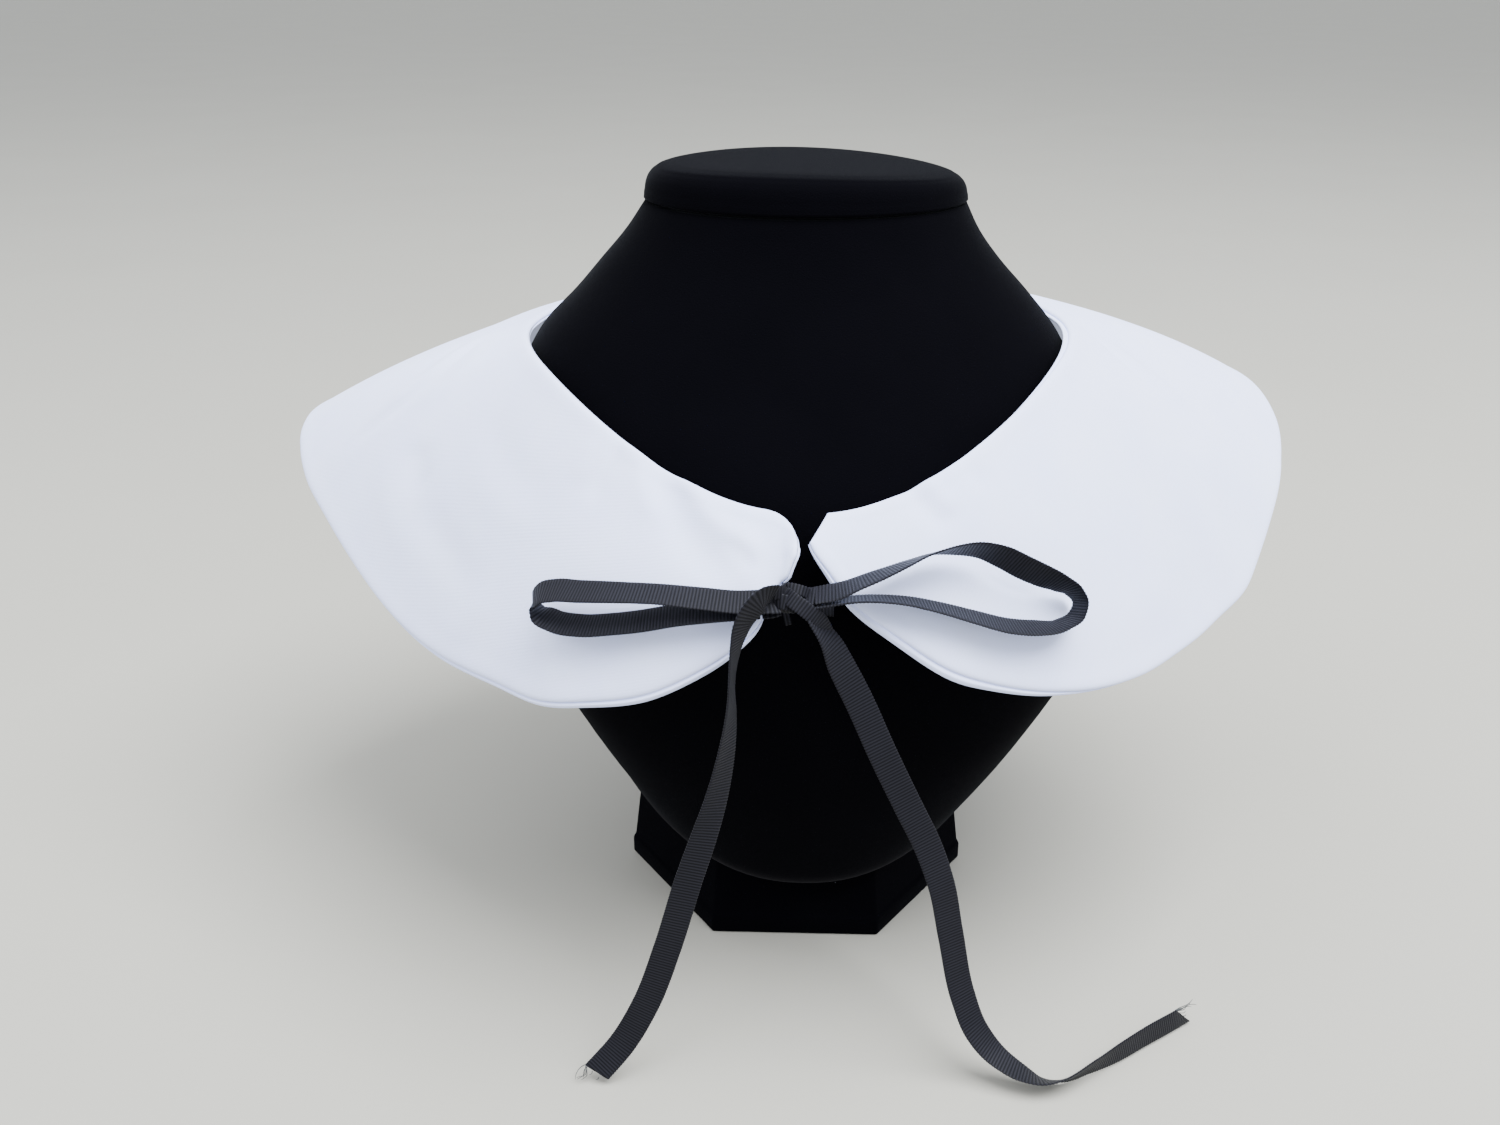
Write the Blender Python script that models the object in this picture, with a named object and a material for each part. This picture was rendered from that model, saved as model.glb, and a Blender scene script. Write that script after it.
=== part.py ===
"""Round flat collar with a ribbon bow, resting on a velvet covered neck display.

The sizes and tables below are in millimetres; MM turns them into the scene's metres.
X runs from the wearer's right to the wearer's left, -Y is the front, Z is up, and the
display stands on Z = 0 with its middle on the Z axis.
"""
import math

import bmesh
import bpy
import numpy as np
from mathutils import Vector

MM = 0.001

# Driving sizes of the collar
NECK_LEFT_HALF_WIDTH = 74.5
NECK_RIGHT_HALF_WIDTH = 73.4
NECK_RIGHT_LIFT = 1.2
NECK_FRONT = 75.0
NECK_BACK = 50.0
NECK_MIDDLE_X = -1.0
NECK_SIDE_HEIGHT = 171.5
NECK_FRONT_FALL = 26.5
NECK_BACK_RISE = 8.5
NECK_FALL_POWER = 1.2
CLOTH = 1.0
SEAM_GAP = 0.3
STATION_STEP = 4.0
ACROSS = 6

# Driving sizes of the ribbon
RIBBON_WIDTH = 7.0
RIBBON_WALL = 1.0

# Driving sizes of the display
BUST_HEIGHT = 215.0
RING_SIDES = 48
FOOT_TOP = 40.0
DISPLAY_TURN = -2.0

# One row for each section of the collar, from its front end on the wearer's right round
# the back to its front end on the wearer's left. turn: place on the neckline, in degrees
# from the front; width: neckline to outer edge; heading: where the section points, in
# degrees from the front; drop: how steeply it falls; crown: how far its middle bulges;
# edge_show and neck_show: how far the under collar reaches past the upper one; trim: how
# far down from the neckline its front end starts, which rounds the end.
COLLAR_SECTIONS = [
    # turn, width, heading, drop, crown, edge_show, neck_show, trim
    (2.3, 10.3, 0.0, 30.0, 0.0, 0.1, 0.0, 7.6),
    (2.8, 12.0, -2.0, 32.0, 0.0, 0.2, 0.0, 5.0),
    (3.9, 14.0, -4.0, 38.0, 0.1, 0.3, 0.0, 2.2),
    (5.2, 16.8, -7.0, 43.5, 0.1, 0.3, 0.0, 0.7),
    (7.0, 18.4, -10.0, 47.5, 0.2, 0.4, 0.0, 0.0),
    (9.0, 22.3, -11.5, 50.0, 0.4, 0.5, 0.0, 0.0),
    (11.5, 28.6, -12.0, 51.0, 0.9, 0.8, 0.0, 0.0),
    (16.0, 36.8, -8.0, 54.5, 1.4, 1.3, 0.0, 0.0),
    (22.0, 45.7, -3.0, 58.0, 2.0, 1.7, 0.0, 0.0),
    (29.0, 55.6, 5.0, 60.0, 2.4, 1.8, 0.0, 0.0),
    (37.0, 64.2, 16.0, 62.0, 2.6, 1.6, 0.0, 0.0),
    (43.0, 70.2, 27.0, 63.0, 2.8, 1.5, 0.0, 0.0),
    (49.0, 73.2, 41.0, 63.0, 3.0, 1.4, 0.0, 0.0),
    (56.0, 76.7, 57.0, 60.5, 3.2, 1.2, 0.0, 0.0),
    (61.5, 78.4, 70.0, 57.5, 3.5, 0.8, 0.0, 0.0),
    (69.0, 78.2, 82.0, 50.0, 4.0, 0.1, 0.0, 0.0),
    (77.0, 78.2, 89.0, 41.0, 4.5, 0.0, 0.0, 0.0),
    (84.0, 78.0, 90.0, 32.5, 4.8, 0.0, 0.0, 0.0),
    (91.0, 78.0, 92.0, 26.5, 4.5, 0.0, 0.0, 0.0),
    (98.0, 78.0, 96.0, 24.0, 3.5, 0.0, 0.2, 0.0),
    (107.0, 78.0, 104.0, 24.0, 3.0, 0.0, 0.3, 0.0),
    (118.0, 78.0, 118.0, 26.0, 3.0, 0.0, 0.3, 0.0),
    (132.0, 78.0, 134.0, 29.0, 4.0, 0.0, 0.3, 0.0),
    (150.0, 78.0, 153.0, 32.0, 5.0, 0.0, 0.3, 0.0),
    (180.0, 78.0, 180.0, 34.0, 5.5, 0.0, 0.3, 0.0),
    (210.0, 78.0, 206.0, 31.0, 5.5, 0.0, 0.3, 0.0),
    (228.0, 78.0, 224.0, 26.0, 5.0, 0.0, 0.5, 0.0),
    (243.0, 79.0, 242.0, 20.5, 3.4, 0.0, 0.9, 0.0),
    (254.0, 79.6, 253.0, 21.0, 3.1, 0.0, 1.3, 0.0),
    (262.0, 79.8, 259.0, 25.0, 3.0, 0.0, 1.4, 0.0),
    (270.0, 79.4, 266.0, 32.0, 3.2, 0.0, 1.4, 0.0),
    (279.0, 79.9, 273.0, 40.0, 3.4, 0.0, 1.4, 0.0),
    (286.0, 81.4, 278.0, 46.0, 3.6, 0.0, 1.2, 0.0),
    (292.0, 81.8, 283.0, 50.0, 3.7, 0.0, 0.9, 0.0),
    (298.0, 80.3, 288.0, 54.5, 3.8, 0.0, 0.6, 0.0),
    (304.0, 77.1, 303.0, 57.0, 3.4, 0.0, 0.4, 0.0),
    (310.0, 74.5, 315.0, 58.5, 3.2, 0.0, 0.2, 0.0),
    (315.0, 71.0, 324.0, 59.5, 3.0, 0.4, 0.0, 0.0),
    (322.0, 63.8, 338.0, 59.0, 2.8, 1.2, 0.0, 0.0),
    (329.0, 55.0, 350.0, 58.0, 2.4, 1.8, 0.0, 0.0),
    (335.0, 47.3, 356.0, 56.0, 2.0, 2.2, 0.0, 0.0),
    (342.0, 34.8, 368.0, 52.0, 1.4, 2.0, 0.0, 0.0),
    (347.0, 26.2, 379.0, 47.0, 0.9, 1.6, 0.0, 0.0),
    (352.0, 17.0, 386.0, 38.0, 0.4, 0.9, 0.0, 0.0),
    (355.0, 12.0, 390.0, 32.0, 0.1, 0.4, 0.0, 0.0),
    (356.4, 9.6, 390.0, 29.0, 0.0, 0.2, 0.0, 0.0),
]

# One row for each ring of the display's body, from its rim up. A ring's height runs
# from the front through the side to the back; square rounds it off, 2 being an oval.
BUST_RINGS = [
    # level, half_width, front, back, z_front, z_side, z_back, square, middle_x
    (0.0, 48.5, 42.0, 41.0, 40.3, 40.3, 40.3, 3.4, 0.0),
    (1.0, 60.0, 46.0, 42.5, 27.0, 63.0, 45.0, 2.6, 0.5),
    (2.0, 65.8, 48.5, 42.5, 22.2, 70.0, 46.5, 2.3, 1.5),
    (3.0, 67.9, 50.5, 43.5, 23.6, 72.0, 48.0, 2.2, 2.0),
    (4.0, 76.2, 58.0, 47.0, 38.0, 80.0, 58.0, 2.1, 2.5),
    (5.0, 84.2, 67.5, 51.0, 62.0, 94.0, 76.0, 2.1, 2.5),
    (6.0, 87.5, 74.0, 53.5, 88.0, 109.0, 98.0, 2.1, 1.5),
    (7.0, 89.5, 76.0, 54.5, 110.0, 124.0, 120.0, 2.1, 0.5),
    (8.0, 88.0, 74.0, 54.0, 127.0, 139.0, 139.0, 2.1, 0.0),
    (9.0, 83.5, 70.0, 52.0, 140.0, 151.5, 155.0, 2.05, -0.5),
    (10.0, 76.3, 63.0, 48.5, 151.0, 162.5, 167.0, 2.0, -1.4),
    (11.0, 70.2, 54.0, 45.0, 164.0, 172.5, 176.0, 2.0, -1.5),
    (12.0, 62.0, 46.5, 41.5, 177.0, 181.5, 184.0, 2.0, -0.8),
    (13.0, 54.3, 40.5, 38.5, 188.0, 190.0, 191.5, 2.0, -1.0),
    (14.0, 47.7, 36.5, 36.0, 197.5, 198.0, 198.5, 2.0, -0.6),
    (15.0, 42.8, 33.8, 33.8, 206.0, 206.0, 206.0, 2.0, 0.1),
]

# Rings of the oval cap: share of its half axes and height
CAP_HALF_WIDTH = 43.1
CAP_HALF_DEPTH = 34.2
CAP_MIDDLE_X = 0.1
CAP_RINGS = [
    # share, height over the seam
    (0.965, 0.3),
    (0.992, 0.6),
    (1.0, 1.6),
    (0.995, 3.2),
    (0.985, 5.2),
    (0.965, 6.8),
    (0.93, 8.0),
    (0.88, 8.7),
    (0.8, 9.0),
]

# Six sided foot: share of the floor outline and height
FOOT_HALF_WIDTH = 52.1
FOOT_HALF_DEPTH = 43.9
FOOT_EDGE_HALF = 24.2
FOOT_SIDE_FORWARD = 2.8
FOOT_RINGS = [
    # share, height
    (0.985, 0.0),
    (1.0, 0.8),
    (1.0, 5.6),
    (0.985, 6.6),
    (0.905, FOOT_TOP),
]

# Routes of the ribbon's free lengths. x, y, z: a point on the middle of the ribbon;
# side_x, side_y, side_z: the direction across the ribbon there.
LEFT_LOOP_ROUTE = [
    # x, y, z, side_x, side_y, side_z
    (-12.2, -93.8, 130.4, 0.0, 0.88, 0.48),
    (-17.5, -93.5, 130.2, 0.0, 0.9, 0.44),
    (-26.0, -92.8, 130.8, -0.02, 0.92, 0.4),
    (-35.5, -91.6, 131.3, -0.05, 0.94, 0.33),
    (-45.0, -89.5, 130.8, -0.07, 0.94, 0.33),
    (-54.5, -86.0, 129.5, -0.08, 0.93, 0.37),
    (-61.0, -83.0, 128.4, -0.08, 0.92, 0.4),
    (-65.0, -81.0, 126.5, -0.08, 0.92, 0.4),
    (-66.4, -80.2, 124.2, -0.08, 0.92, 0.4),
    (-65.4, -80.8, 122.0, -0.08, 0.92, 0.4),
    (-61.5, -82.8, 120.5, -0.08, 0.92, 0.4),
    (-54.5, -85.8, 120.6, -0.08, 0.92, 0.38),
    (-47.5, -88.1, 122.0, -0.07, 0.92, 0.38),
    (-40.5, -89.6, 123.5, -0.05, 0.91, 0.41),
    (-31.0, -91.3, 126.0, -0.03, 0.9, 0.43),
    (-23.0, -92.2, 127.4, -0.02, 0.88, 0.47),
    (-12.4, -92.6, 128.6, 0.0, 0.86, 0.5),
]
RIGHT_LOOP_ROUTE = [
    # x, y, z, side_x, side_y, side_z
    (0.2, -92.2, 131.2, 0.1, 0.97, 0.2),
    (6.0, -92.8, 132.8, 0.18, 0.95, 0.24),
    (11.0, -92.8, 135.0, 0.2, 0.97, 0.12),
    (16.5, -91.5, 136.8, 0.21, 0.98, 0.0),
    (21.5, -89.8, 138.3, 0.17, 0.97, -0.15),
    (27.0, -88.0, 139.8, 0.14, 0.92, -0.36),
    (32.5, -86.6, 140.2, 0.16, 0.78, -0.6),
    (39.0, -85.5, 139.7, 0.1, 0.57, -0.81),
    (44.0, -85.0, 137.8, -0.06, 0.36, -0.93),
    (49.0, -84.5, 135.0, -0.14, 0.3, -0.94),
    (54.0, -83.6, 132.3, -0.16, 0.38, -0.91),
    (58.5, -82.4, 129.8, -0.22, 0.57, -0.79),
    (62.0, -81.6, 127.4, -0.28, 0.73, -0.62),
    (63.8, -81.8, 124.6, -0.33, 0.86, -0.39),
    (62.8, -83.2, 122.2, -0.3, 0.93, -0.2),
    (59.0, -85.8, 120.9, -0.1, 0.96, -0.25),
    (52.0, -88.9, 121.5, 0.12, 0.94, -0.32),
    (45.5, -90.6, 122.8, 0.17, 0.93, -0.32),
    (37.5, -91.8, 125.5, 0.2, 0.93, -0.31),
    (29.5, -92.4, 128.1, 0.19, 0.93, -0.31),
    (21.5, -92.8, 130.1, 0.17, 0.93, -0.3),
    (12.0, -93.2, 130.9, 0.1, 0.96, -0.22),
    (0.4, -92.6, 129.2, 0.05, 0.98, -0.16),
]
LEFT_TAIL_ROUTE = [
    # x, y, z, side_x, side_y, side_z
    (-9.0, -95.6, 133.4, 0.6, 0.5, -0.62),
    (-12.6, -98.9, 132.6, 0.6, 0.45, -0.66),
    (-15.7, -99.8, 128.6, 0.72, 0.45, -0.47),
    (-17.3, -99.6, 123.6, 0.5, 0.76, -0.35),
    (-18.4, -99.4, 117.4, 0.28, 0.92, -0.25),
    (-19.0, -99.2, 110.4, 0.24, 0.94, -0.2),
    (-19.2, -99.6, 104.2, 0.36, 0.9, -0.15),
    (-20.2, -100.0, 95.0, 0.58, 0.8, -0.1),
    (-22.8, -100.5, 82.0, 0.8, 0.55, -0.15),
    (-26.0, -101.0, 71.0, 0.93, 0.28, -0.22),
    (-29.5, -101.5, 60.0, 0.96, 0.1, -0.26),
    (-35.0, -102.0, 40.5, 0.97, -0.02, -0.28),
    (-41.0, -102.5, 23.0, 0.95, -0.1, -0.36),
    (-47.5, -103.2, 10.8, 0.9, -0.2, -0.38),
    (-54.4, -104.9, 2.7, 0.9, -0.3, -0.3),
]
RIGHT_TAIL_ROUTE = [
    # x, y, z, side_x, side_y, side_z
    (-1.2, -94.5, 127.0, 0.3, 0.92, 0.2),
    (3.2, -95.4, 121.8, 0.55, 0.8, 0.2),
    (6.4, -95.7, 115.0, 0.8, 0.55, 0.25),
    (10.4, -95.9, 106.7, 0.9, 0.3, 0.3),
    (16.6, -96.3, 92.3, 0.92, 0.2, 0.36),
    (23.2, -96.8, 78.0, 0.92, 0.2, 0.36),
    (28.4, -97.2, 67.0, 0.92, 0.25, 0.34),
    (32.3, -97.8, 56.0, 0.94, 0.3, 0.2),
    (35.3, -98.7, 41.5, 0.93, 0.35, 0.12),
    (39.1, -100.6, 24.0, 0.9, 0.42, 0.1),
    (42.9, -102.4, 14.5, 0.87, 0.5, 0.05),
    (47.8, -104.2, 8.6, 0.74, 0.66, 0.0),
    (53.6, -106.8, 5.4, 0.55, 0.8, -0.12),
    (58.6, -108.4, 4.0, 0.35, 0.82, -0.42),
    (64.0, -107.8, 3.3, 0.2, 0.72, -0.67),
    (73.4, -103.2, 3.8, -0.12, 0.31, -0.94),
    (81.0, -98.4, 4.0, -0.04, 0.07, -1.0),
    (90.0, -92.0, 4.0, 0.0, 0.0, -1.0),
    (97.8, -86.8, 4.0, 0.0, 0.0, -1.0),
    (104.3, -82.3, 4.0, 0.0, 0.0, -1.0),
]
TIE_LEFT_ROUTE = [
    # x, y, z, side_x, side_y, side_z
    (-7.2, -87.1, 124.8, 0.0, 0.3, 0.95),
    (-5.7, -87.1, 125.2, 0.0, 0.3, 0.95),
]
TIE_RIGHT_ROUTE = [
    # x, y, z, side_x, side_y, side_z
    (-3.6, -86.9, 127.4, 0.0, 0.3, 0.95),
    (4.9, -86.9, 126.4, 0.0, 0.3, 0.95),
]
ROUTE_STEP = 2.0

# Half sizes of the knot and its middle
KNOT_HALF = (5.6, 3.6, 4.4)
KNOT_MIDDLE = (-6.0, -91.2, 129.4)

# Principled colours, roughness
FINISHES = {
    "collar_cotton": ((0.80, 0.81, 0.87, 1.0), 0.9),
    "bow_ribbon": ((0.012, 0.012, 0.014, 1.0), 0.45),
    "display_velvet": ((0.003, 0.003, 0.005, 1.0), 0.95),
}


def clear_scene():
    for old in list(bpy.data.objects):
        bpy.data.objects.remove(old, do_unlink=True)


def finish_for(name):
    """The material of that finish, made on first use."""
    made = bpy.data.materials.get(name)
    if made:
        return made
    colour, roughness = FINISHES[name]
    made = bpy.data.materials.new(name)
    made.use_nodes = True
    shader = made.node_tree.nodes["Principled BSDF"]
    shader.inputs["Base Color"].default_value = colour
    shader.inputs["Roughness"].default_value = roughness
    shader.inputs["Metallic"].default_value = 0.0
    return made


def add_solid(name, points, triangles, finish, crease=50.0):
    """A closed object from points in millimetres and faces by point number."""
    mesh = bpy.data.meshes.new(name)
    mesh.from_pydata([tuple(p * MM) for p in points], [], triangles)
    mesh.shade_smooth()
    mesh.set_sharp_from_angle(angle=math.radians(crease))
    mesh.materials.append(finish_for(finish))
    solid = bpy.data.objects.new(name, mesh)
    bpy.context.scene.collection.objects.link(solid)
    return solid


def read_table(rows, at):
    """Every column of a table at the given first-column values, smooth through each row."""
    table = np.array(rows, float)
    key = table[:, 0]
    slope = np.gradient(table, key, axis=0)
    at = np.asarray(at, float)
    i = np.clip(np.searchsorted(key, at, side="right") - 1, 0, len(key) - 2)
    span = (key[i + 1] - key[i])[:, None]
    s = (at - key[i])[:, None] / span
    return (
        (1 + 2 * s) * (1 - s) ** 2 * table[i]
        + s * (1 - s) ** 2 * span * slope[i]
        + s**2 * (3 - 2 * s) * table[i + 1]
        + s**2 * (s - 1) * span * slope[i + 1]
    )


def stations_of(rows, step):
    """First-column values from row to row, at most about one step apart."""
    keys = [row[0] for row in rows]
    stations = [keys[0]]
    for low, high in zip(keys, keys[1:]):
        parts = max(1, round((high - low) / step))
        stations.extend(low + (high - low) * k / parts for k in range(1, parts + 1))
    return np.array(stations)


def unit(vectors):
    return vectors / np.linalg.norm(vectors, axis=-1, keepdims=True)


def neckline(turn):
    """Points of the neckline, an oval that dips at the front and rises at the back."""
    angle = np.radians(turn)
    forward = np.cos(angle)
    depth = np.where(forward > 0, NECK_FRONT, NECK_BACK)
    fall = -NECK_FRONT_FALL * np.abs(forward) ** NECK_FALL_POWER
    lift = np.where(forward > 0, fall, NECK_BACK_RISE)
    right = -np.sin(angle)
    half_width = np.where(right > 0, NECK_RIGHT_HALF_WIDTH, NECK_LEFT_HALF_WIDTH)
    return np.stack([
        NECK_MIDDLE_X + half_width * right,
        -depth * forward,
        NECK_SIDE_HEIGHT + lift * forward**2 + NECK_RIGHT_LIFT * np.maximum(right, 0.0) ** 2,
    ], axis=-1)


def collar_surface(neck_share, edge_share):
    """Outer points of the cloth, station by station, from the neckline to the edge.

    The shares say how much of the table's neck_show and edge_show is added.
    """
    turns = stations_of(COLLAR_SECTIONS, STATION_STEP)
    columns = read_table(COLLAR_SECTIONS, turns).T
    turn, width, heading, drop, crown, edge_show, neck_show, trim = columns
    heading = np.radians(heading)
    drop = np.radians(drop)
    level = np.stack([-np.sin(heading), -np.cos(heading), np.zeros_like(heading)], axis=-1)
    rise = np.array([0.0, 0.0, 1.0])
    along = level * np.cos(drop)[:, None] - rise * np.sin(drop)[:, None]
    outward = level * np.sin(drop)[:, None] + rise * np.cos(drop)[:, None]
    start = neckline(turn)
    first = (trim - neck_share * neck_show) / width
    last = 1.0 + edge_share * edge_show / width
    rows = []
    for k in range(ACROSS + 1):
        v = (first + (last - first) * k / ACROSS)[:, None]
        bulge = 4.0 * crown[:, None] * v * (1.0 - v)
        rows.append(start + along * width[:, None] * v + outward * bulge)
    return np.stack(rows, axis=1)


def surface_normals(grid):
    """Unit normals of a grid of points, on the side that faces out and up."""
    along = np.gradient(grid, axis=0)
    across = np.gradient(grid, axis=1)
    return unit(np.cross(along, across))


def wall_faces(rows, columns):
    """Triangles of a closed wall whose outer grid comes first and inner grid second."""
    def outer(i, j):
        return i * columns + j

    def inner(i, j):
        return rows * columns + i * columns + j

    faces = []
    for i in range(rows - 1):
        for j in range(columns - 1):
            faces.append((outer(i, j), outer(i + 1, j + 1), outer(i, j + 1)))
            faces.append((outer(i, j), outer(i + 1, j), outer(i + 1, j + 1)))
            faces.append((inner(i, j), inner(i, j + 1), inner(i + 1, j + 1)))
            faces.append((inner(i, j), inner(i + 1, j + 1), inner(i + 1, j)))
    for i in range(rows - 1):
        for j, flip in ((0, True), (columns - 1, False)):
            quad = [outer(i, j), outer(i + 1, j), inner(i + 1, j), inner(i, j)]
            if flip:
                quad.reverse()
            faces.append((quad[0], quad[1], quad[2]))
            faces.append((quad[0], quad[2], quad[3]))
    for j in range(columns - 1):
        for i, flip in ((0, False), (rows - 1, True)):
            quad = [outer(i, j), outer(i, j + 1), inner(i, j + 1), inner(i, j)]
            if flip:
                quad.reverse()
            faces.append((quad[0], quad[1], quad[2]))
            faces.append((quad[0], quad[2], quad[3]))
    return faces


def add_cloth(name, grid, depth):
    """One layer of the collar, its outer side that far under the grid."""
    normals = surface_normals(grid)
    top = grid - normals * depth
    low = grid - normals * (depth + CLOTH)
    rows, columns = grid.shape[:2]
    points = np.concatenate([top.reshape(-1, 3), low.reshape(-1, 3)])
    return add_solid(name, points, wall_faces(rows, columns), "collar_cotton", 40.0)


def ring_faces(rings, sides):
    """Faces of a stack of rings, lowest first, closed with a flat face at both ends."""
    faces = []
    for r in range(rings - 1):
        for k in range(sides):
            a = r * sides + k
            b = r * sides + (k + 1) % sides
            faces.append((a, b, b + sides))
            faces.append((a, b + sides, a + sides))
    faces.append(tuple(range(sides - 1, -1, -1)))
    top = (rings - 1) * sides
    faces.append(tuple(range(top, top + sides)))
    return faces


def turned(x, y, z):
    """A point of the display, which stands turned a little on the table."""
    angle = math.radians(DISPLAY_TURN)
    return (x * math.cos(angle) - y * math.sin(angle),
            x * math.sin(angle) + y * math.cos(angle), z)


def add_bust():
    """Neck and chest as one smooth closed body from its table of rings."""
    levels = stations_of(BUST_RINGS, 0.5)
    points = []
    for ring in read_table(BUST_RINGS, levels):
        _, half_width, front, back, z_front, z_side, z_back, square, middle_x = ring
        for k in range(RING_SIDES):
            angle = 2.0 * math.pi * k / RING_SIDES
            side = math.sin(angle)
            forward = math.cos(angle)
            power = 2.0 / square
            depth = front if forward > 0 else back
            z_end = z_front if forward > 0 else z_back
            x = middle_x + half_width * math.copysign(abs(side) ** power, side)
            y = -depth * math.copysign(abs(forward) ** power, forward)
            points.append(turned(x, y, z_side + (z_end - z_side) * forward**2))
    faces = ring_faces(len(levels), RING_SIDES)
    return add_solid("display_bust", np.array(points), faces, "display_velvet")


def add_cap():
    """Oval cap on the neck, with a rounded rim."""
    seam = BUST_HEIGHT - CAP_RINGS[-1][1]
    points = []
    for share, height in CAP_RINGS:
        for k in range(RING_SIDES):
            angle = 2.0 * math.pi * k / RING_SIDES
            x = CAP_HALF_WIDTH * share * math.sin(angle)
            y = -CAP_HALF_DEPTH * share * math.cos(angle)
            points.append(turned(x + CAP_MIDDLE_X, y, seam + height))
    faces = ring_faces(len(CAP_RINGS), RING_SIDES)
    return add_solid("display_cap", np.array(points), faces, "display_velvet")


def add_foot():
    """Six sided foot with a flat base, narrowing to its top."""
    outline = [
        (FOOT_EDGE_HALF, -FOOT_HALF_DEPTH),
        (FOOT_HALF_WIDTH, -FOOT_SIDE_FORWARD),
        (FOOT_EDGE_HALF, FOOT_HALF_DEPTH),
        (-FOOT_EDGE_HALF, FOOT_HALF_DEPTH),
        (-FOOT_HALF_WIDTH, -FOOT_SIDE_FORWARD),
        (-FOOT_EDGE_HALF, -FOOT_HALF_DEPTH),
    ]
    points = [turned(x * share, y * share, z) for share, z in FOOT_RINGS for x, y in outline]
    faces = ring_faces(len(FOOT_RINGS), len(outline))
    return add_solid("display_foot", np.array(points), faces, "display_velvet", 20.0)


def add_ribbon(name, route, width=RIBBON_WIDTH, wall=RIBBON_WALL):
    """A flat band of ribbon along the smooth curve through a route's points."""
    rows = np.array(route, float)
    run = np.linalg.norm(np.diff(rows[:, :3], axis=0), axis=1)
    length = np.concatenate([[0.0], np.cumsum(run)])
    keyed = np.column_stack([length, rows])
    steps = max(2, round(length[-1] / ROUTE_STEP))
    path = read_table(keyed, np.linspace(0.0, length[-1], steps + 1))[:, 1:]
    middle = path[:, :3]
    tangent = unit(np.gradient(middle, axis=0))
    side = path[:, 3:] - np.sum(path[:, 3:] * tangent, axis=1)[:, None] * tangent
    side = unit(side) * width / 2
    face = unit(np.cross(tangent, side)) * wall / 2
    rings = [middle - side - face, middle - side + face, middle + side + face, middle + side - face]
    points = np.stack(rings, axis=1).reshape(-1, 3)
    faces = []
    for r in range(steps):
        for k in range(4):
            a = 4 * r + k
            b = 4 * r + (k + 1) % 4
            faces.append((a, a + 4, b + 4))
            faces.append((a, b + 4, b))
    last = 4 * steps
    faces.append((0, 1, 2, 3))
    faces.append((last + 3, last + 2, last + 1, last))
    return add_solid(name, points, faces, "bow_ribbon", 60.0)


def add_knot():
    """The knot's rounded outer shape."""
    bm = bmesh.new()
    bmesh.ops.create_uvsphere(bm, u_segments=20, v_segments=12, radius=1.0)
    for vert in bm.verts:
        vert.co = Vector(m + h * c for m, h, c in zip(KNOT_MIDDLE, KNOT_HALF, vert.co)) * MM
    mesh = bpy.data.meshes.new("bow_knot")
    bm.to_mesh(mesh)
    bm.free()
    mesh.shade_smooth()
    mesh.materials.append(finish_for("bow_ribbon"))
    bpy.context.scene.collection.objects.link(bpy.data.objects.new("bow_knot", mesh))


def build():
    clear_scene()
    add_cloth("upper_collar", collar_surface(0.0, 0.0), 0.0)
    add_cloth("under_collar", collar_surface(1.0, 1.0), CLOTH + SEAM_GAP)
    add_knot()
    add_ribbon("tie_left", TIE_LEFT_ROUTE)
    add_ribbon("tie_right", TIE_RIGHT_ROUTE)
    add_ribbon("loop_left", LEFT_LOOP_ROUTE)
    add_ribbon("loop_right", RIGHT_LOOP_ROUTE)
    add_ribbon("tail_left", LEFT_TAIL_ROUTE)
    add_ribbon("tail_right", RIGHT_TAIL_ROUTE)
    add_bust()
    add_cap()
    add_foot()


build()
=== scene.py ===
import math

import bmesh
import bpy
import numpy as np
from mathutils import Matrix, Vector


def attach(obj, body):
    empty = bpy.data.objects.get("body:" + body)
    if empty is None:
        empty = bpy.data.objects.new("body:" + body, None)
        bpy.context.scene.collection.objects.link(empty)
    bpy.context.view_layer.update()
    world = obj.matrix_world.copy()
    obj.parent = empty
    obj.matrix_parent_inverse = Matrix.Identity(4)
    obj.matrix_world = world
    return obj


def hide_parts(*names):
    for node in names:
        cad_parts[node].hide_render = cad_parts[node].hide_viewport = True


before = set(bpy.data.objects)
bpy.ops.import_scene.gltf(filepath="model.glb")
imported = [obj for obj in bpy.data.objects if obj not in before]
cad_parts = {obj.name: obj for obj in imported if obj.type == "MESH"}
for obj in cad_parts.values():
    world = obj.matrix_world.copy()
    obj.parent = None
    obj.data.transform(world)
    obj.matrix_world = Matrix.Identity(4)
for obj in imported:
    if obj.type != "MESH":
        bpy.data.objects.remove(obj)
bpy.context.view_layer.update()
bpy.ops.object.select_all(action="DESELECT")

# Camera
# It stands a little to the wearer's right of the middle and looks down on the collar.
camera = bpy.data.objects.new("view_camera", bpy.data.cameras.new("view_camera"))
camera.location = (-0.0147, -0.395, 0.268)
camera.rotation_euler = (math.radians(67.0), 0.0, 0.0)
camera.data.lens = 34.8
camera.data.sensor_width = 36.0
camera.data.clip_start = 0.01
bpy.context.scene.collection.objects.link(camera)
bpy.context.scene.camera = camera


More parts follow.
